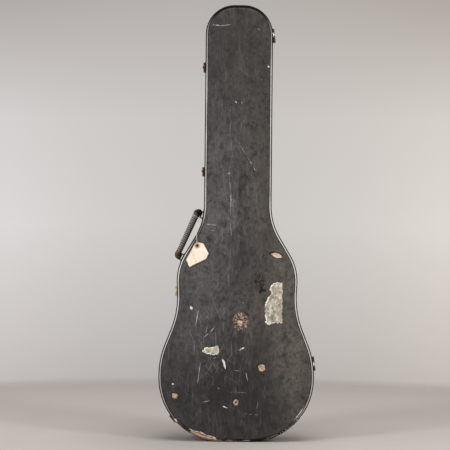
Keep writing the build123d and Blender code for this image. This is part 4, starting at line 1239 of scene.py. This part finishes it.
# the ring's section: radius, rise off the paper in mm, and how dark it is; the dark inner rows are painted
# shade in the hole
RING_ROWS = [(HOLE_R, 0.25, 1.0), (HOLE_R, -0.22, 1.0), (HOLE_R + 0.5 * MM, -0.34, 0.75),
             (RING_R - 0.5 * MM, -0.34, 0.0), (RING_R, -0.20, 0.0), (RING_R, 0.25, 0.0)]
verts, deep = [], []
for radius, rise, shade in RING_ROWS:
    row = circle(radius, 40)
    verts.append(at_depth(row, TAG_Y + (rise - tag_lift(row[:, 0] / MM, row[:, 1] / MM)) * MM))
    deep += [shade] * 40
ring_piece = add_piece("tag_fibre_ring", np.vstack(verts), ring_faces(len(RING_ROWS), 40, closed=True),
                       RING_PAPER, "lid", {"deep": deep})
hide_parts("tag_ring")

# the knot runs into the tag's hole in near-black string, as painted shade of the hole
end = STRING_ROUTE[-1]
knot_points = [end, (end[0], end[1] + 0.0006, end[2] - 0.0012), (HOLE[0], end[1] + 0.0016, HOLE[1] + 0.0010),
               (HOLE[0], tag_low.y + 0.0006, HOLE[1])]
knot = string_curve("tag_string_knot", knot_points, "lid", material=STRING_HOLE_SHADE)


# ---- plush inside ----
def pad(name, node, body, front):
    """Padded plush on a board: crowned, and pulled in at its edge."""
    low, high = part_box(node)
    inner, outer = (low.y, high.y) if front else (high.y, low.y)
    loop = resampled(rim(node, front), 0.005)

    def shape(x, z, edge):
        crown = -1.3 * np.exp(-edge / 6.0) + 0.4 * field(x, z, 70.0, 111) + 0.2 * field(x, z, 18.0, 112)
        return np.minimum(crown, 0.4), {}

    piece = panel(name, loop, inner, outer, 0.0065, shape, PLUSH, body)
    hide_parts(node)


def wall_pad(name, node, body, board_first):
    """Plush strip round the inside of a wall: square at the board and rolled at the rim."""
    low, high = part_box(node)
    start = (OUTLINE[:, 0].max() - high.x) / MM
    y0, y1 = low.y / MM, high.y / MM
    full = start + 2.6
    section = [(start, y0), (full + 0.2, y0), (full + 0.3, y0 + 1.5), (full + 0.25, (y0 + y1) / 2),
               (full, y1 - 2.2), (start + 1.2, y1 - 0.2), (start, y1)]
    if not board_first:
        section = [(inset, y0 + y1 - y) for inset, y in reversed(section)]
    ring = resampled(OUTLINE, 0.006)
    out = outward(ring, 2)
    verts = []
    for k, (inset, y) in enumerate(section):
        inner = 0 < k < len(section) - 1
        puff = 0.18 * field(ring[:, 0] / MM, ring[:, 1] / MM + 31 * k, 16.0, 113) * inner
        verts.append(at_depth(ring - out * ((inset + puff) * MM)[:, None], y * MM))
    piece = add_piece(name, np.vstack(verts), ring_faces(len(section), len(ring), closed=True), PLUSH, body)
    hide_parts(node)


pad("lid_plush_pad", "lid_lining", "lid", False)
pad("base_plush_pad", "base_lining", "base", True)
wall_pad("lid_plush_wall", "lid_side_lining", "lid", True)
wall_pad("base_plush_wall", "base_side_lining", "base", False)


def rounded(corners):
    """Polygon with rounded corners, each given as (u, v, radius), sampled evenly, in mm."""
    points = []
    for k, (u, v, radius) in enumerate(corners):
        here = np.array([u, v], float)
        before = np.array(corners[k - 1][:2], float) - here
        after = np.array(corners[(k + 1) % len(corners)][:2], float) - here
        before, after = before / np.linalg.norm(before), after / np.linalg.norm(after)
        half = math.acos(max(-1.0, min(1.0, float(before @ after)))) / 2.0
        run = radius / math.tan(half)
        middle = (before + after) / np.linalg.norm(before + after) * radius / math.sin(half) + here
        first, last = here + before * run - middle, here + after * run - middle
        for t in np.linspace(0, 1, 7):
            way = first * (1 - t) + last * t
            points.append(middle + way / np.linalg.norm(way) * radius)
    return resampled(np.array(points), 2.0)


def soft_block(name, corners, place, low, high, soft, body, swell=0.0):
    """Plush block with rolled rims: a rounded polygon filled between two levels."""
    loop = rounded(corners)
    out = outward(loop, 2)
    roll = [(soft * (1 - math.sin(a)), soft * (1 - math.cos(a))) for a in np.linspace(0, math.pi / 2, 5)]
    rows = [(inset, low + rise) for inset, rise in roll] + [(-swell, (low + high) / 2.0)]
    rows += [(inset, high - rise) for inset, rise in reversed(roll)]
    verts = [Vector(place(u, v, level)) * MM for inset, level in rows for u, v in loop - out * inset]
    piece = add_piece(name, verts, capped_faces(len(rows), len(loop)), PLUSH, body)
    sharpen(piece, 50)
    return piece


low, high = [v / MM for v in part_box("neck_cradle")]
NOTCH_HALF, NOTCH_DEEP = 29.0, 27.0
cradle = soft_block(
    "neck_cradle_plush",
    [(low.x, low.y, 5), (-NOTCH_HALF, low.y, 5), (-NOTCH_HALF, low.y + NOTCH_DEEP, 10),
     (NOTCH_HALF, low.y + NOTCH_DEEP, 10), (NOTCH_HALF, low.y, 5), (high.x, low.y, 5), (high.x, high.y, 1),
     (low.x, high.y, 1)],
    lambda u, v, t: (u, v, t), low.z, high.z, 3.0, "base", 0.6)
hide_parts("neck_cradle")

low, high = [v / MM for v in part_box("accessory_lid")]
flap = soft_block(
    "compartment_lid_plush",
    [(low.x, low.z, 4), (high.x, low.z, 1), (high.x, high.z, 1), (low.x, high.z, 4)],
    lambda u, v, t: (u, t, v), low.y, high.y, 1.6, "accessory_lid")
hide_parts("accessory_lid")

low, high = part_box("accessory_pull_tab")
rows, columns, verts, faces = 14, 5, [], []
for t in np.linspace(0.0, 1.0, rows):
    for across in np.linspace(0.0, 1.0, columns):
        bow = 0.35 * math.cos(math.pi * (across - 0.5))
        y = high.y - (0.1 + bow + 2.2 * (1 - t) ** 2) * MM
        verts.append((low.x + (high.x - low.x) * t, y, low.z + (high.z - low.z) * across))
for r in range(rows - 1):
    for a in range(r * columns, (r + 1) * columns - 1):
        faces.append((a, a + 1, a + columns + 1, a + columns))
tab = add_piece("pull_tab_ribbon", verts, faces, RIBBON, "accessory_lid", close=False)
thick = tab.modifiers.new("thickness", "SOLIDIFY")
thick.thickness = 0.5 * MM
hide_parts("accessory_pull_tab")

# ---- metal fittings keep their CAD shape and get small worn bevels ----
for part in RECORD["subparts"]:
    if part["material_slot"] in ("aged_brass", "steel"):
        shown = NODES[part["node"]]
        weld = shown.modifiers.new("weld", "WELD")
        weld.merge_threshold = 0.002 * MM
        bevel = shown.modifiers.new("bevel", "BEVEL")
        bevel.width = 0.22 * MM
        bevel.segments = 2
        bevel.angle_limit = math.radians(35)
        bevel.limit_method = "ANGLE"

# ---- floor, backdrop and light ----
FLOOR_REACH, rings, spokes = 1.95, 60, 96  # metres, and the counts of its mesh
verts, fade, shade = [(0.0, 0.0, 0.0)], [0.0], [1.0]
for r in range(1, rings + 1):
    radius = FLOOR_REACH * r / rings
    for a in full_turn(spokes):
        x, y = radius * math.cos(a), radius * math.sin(a)
        verts.append((x, y, 0.0))
        fade.append(ease(1.38, 1.72, radius))
        # painted shadow on the floor, centred a little left of and in front of the case
        shade.append(bell(math.hypot(x + 0.10, 0.7 * (y + 0.05)), 0.24))
faces = [(0, 1 + k, 1 + (k + 1) % spokes) for k in range(spokes)]
faces += [face[::-1] for face in ring_faces(rings, spokes, 1)]
masks = {"fade": fade, "shade": shade}
floor = add_piece("floor", verts, faces, make_floor(), None, masks, close=False)


def make_world():
    """Pale studio backdrop: brightest at mid height towards the sides, and falling off upwards."""
    world = bpy.data.worlds.new("studio")
    world.use_nodes = True
    w = Nodes(world.node_tree)
    split = w.node("SeparateXYZ", Vector=w.node("TexCoord").outputs["Generated"])
    up, side = split.outputs["Z"], split.outputs["X"]

    def spread(value, low, high, *stops):
        return w.ramp(w.node("MapRange", From_Min=low, From_Max=high, Value=value).outputs[0], *stops)

    heights = (0.0, 0.24, 0.33, 0.50, 0.66, 0.84, 1.0)
    inner = ((0.44, 0.42, 0.40), (0.455, 0.435, 0.42), (0.52, 0.50, 0.49), (0.61, 0.595, 0.58),
             (0.60, 0.58, 0.565), (0.47, 0.445, 0.43), (0.40, 0.38, 0.37))
    outer = ((0.50, 0.48, 0.46), (0.515, 0.49, 0.475), (0.60, 0.575, 0.56), (0.72, 0.70, 0.69),
             (0.66, 0.64, 0.63), (0.43, 0.405, 0.39), (0.36, 0.34, 0.33))
    inner, outer = [spread(up, -0.20, 0.20, *zip(heights, tones)) for tones in (inner, outer)]
    aside = spread(w.calc("ABSOLUTE", side), 0.03, 0.13, (0.0, 0.0), (0.5, 0.35), (1.0, 1.0))
    tint = spread(side, -0.14, 0.14, (0.0, (1.0, 0.985, 0.985)), (0.5, (1.0, 0.985, 0.98)),
                  (1.0, (1.02, 0.985, 0.935)))
    back = w.tree.nodes["Background"]
    w.plug(back.inputs["Color"], w.mix(1.0, w.mix(aside, inner, outer), tint, "MULTIPLY"))
    back.inputs["Strength"].default_value = 1.0
    bpy.context.scene.world = world


make_world()


def soft_light(name, place, aim, size, power, colour):
    data = bpy.data.lights.new(name, "AREA")
    data.shape = "RECTANGLE"
    data.size, data.size_y = size
    data.energy = power
    data.color = colour
    light = bpy.data.objects.new(name, data)
    light.location = place
    light.rotation_euler = (Vector(aim) - Vector(place)).to_track_quat("-Z", "Y").to_euler()
    bpy.context.collection.objects.link(light)


soft_light("softbox_left", (-2.3, -2.3, 1.7), (0, 0, 0.55), (0.7, 1.5), 42.0, (1.0, 0.98, 0.97))
soft_light("softbox_right", (2.4, -2.1, 1.5), (0, 0, 0.5), (0.7, 1.5), 36.0, (1.0, 0.96, 0.90))
soft_light("softbox_top", (0.1, -0.6, 2.9), (0, 0, 0.3), (1.8, 1.2), 26.0, (1.0, 0.98, 0.96))
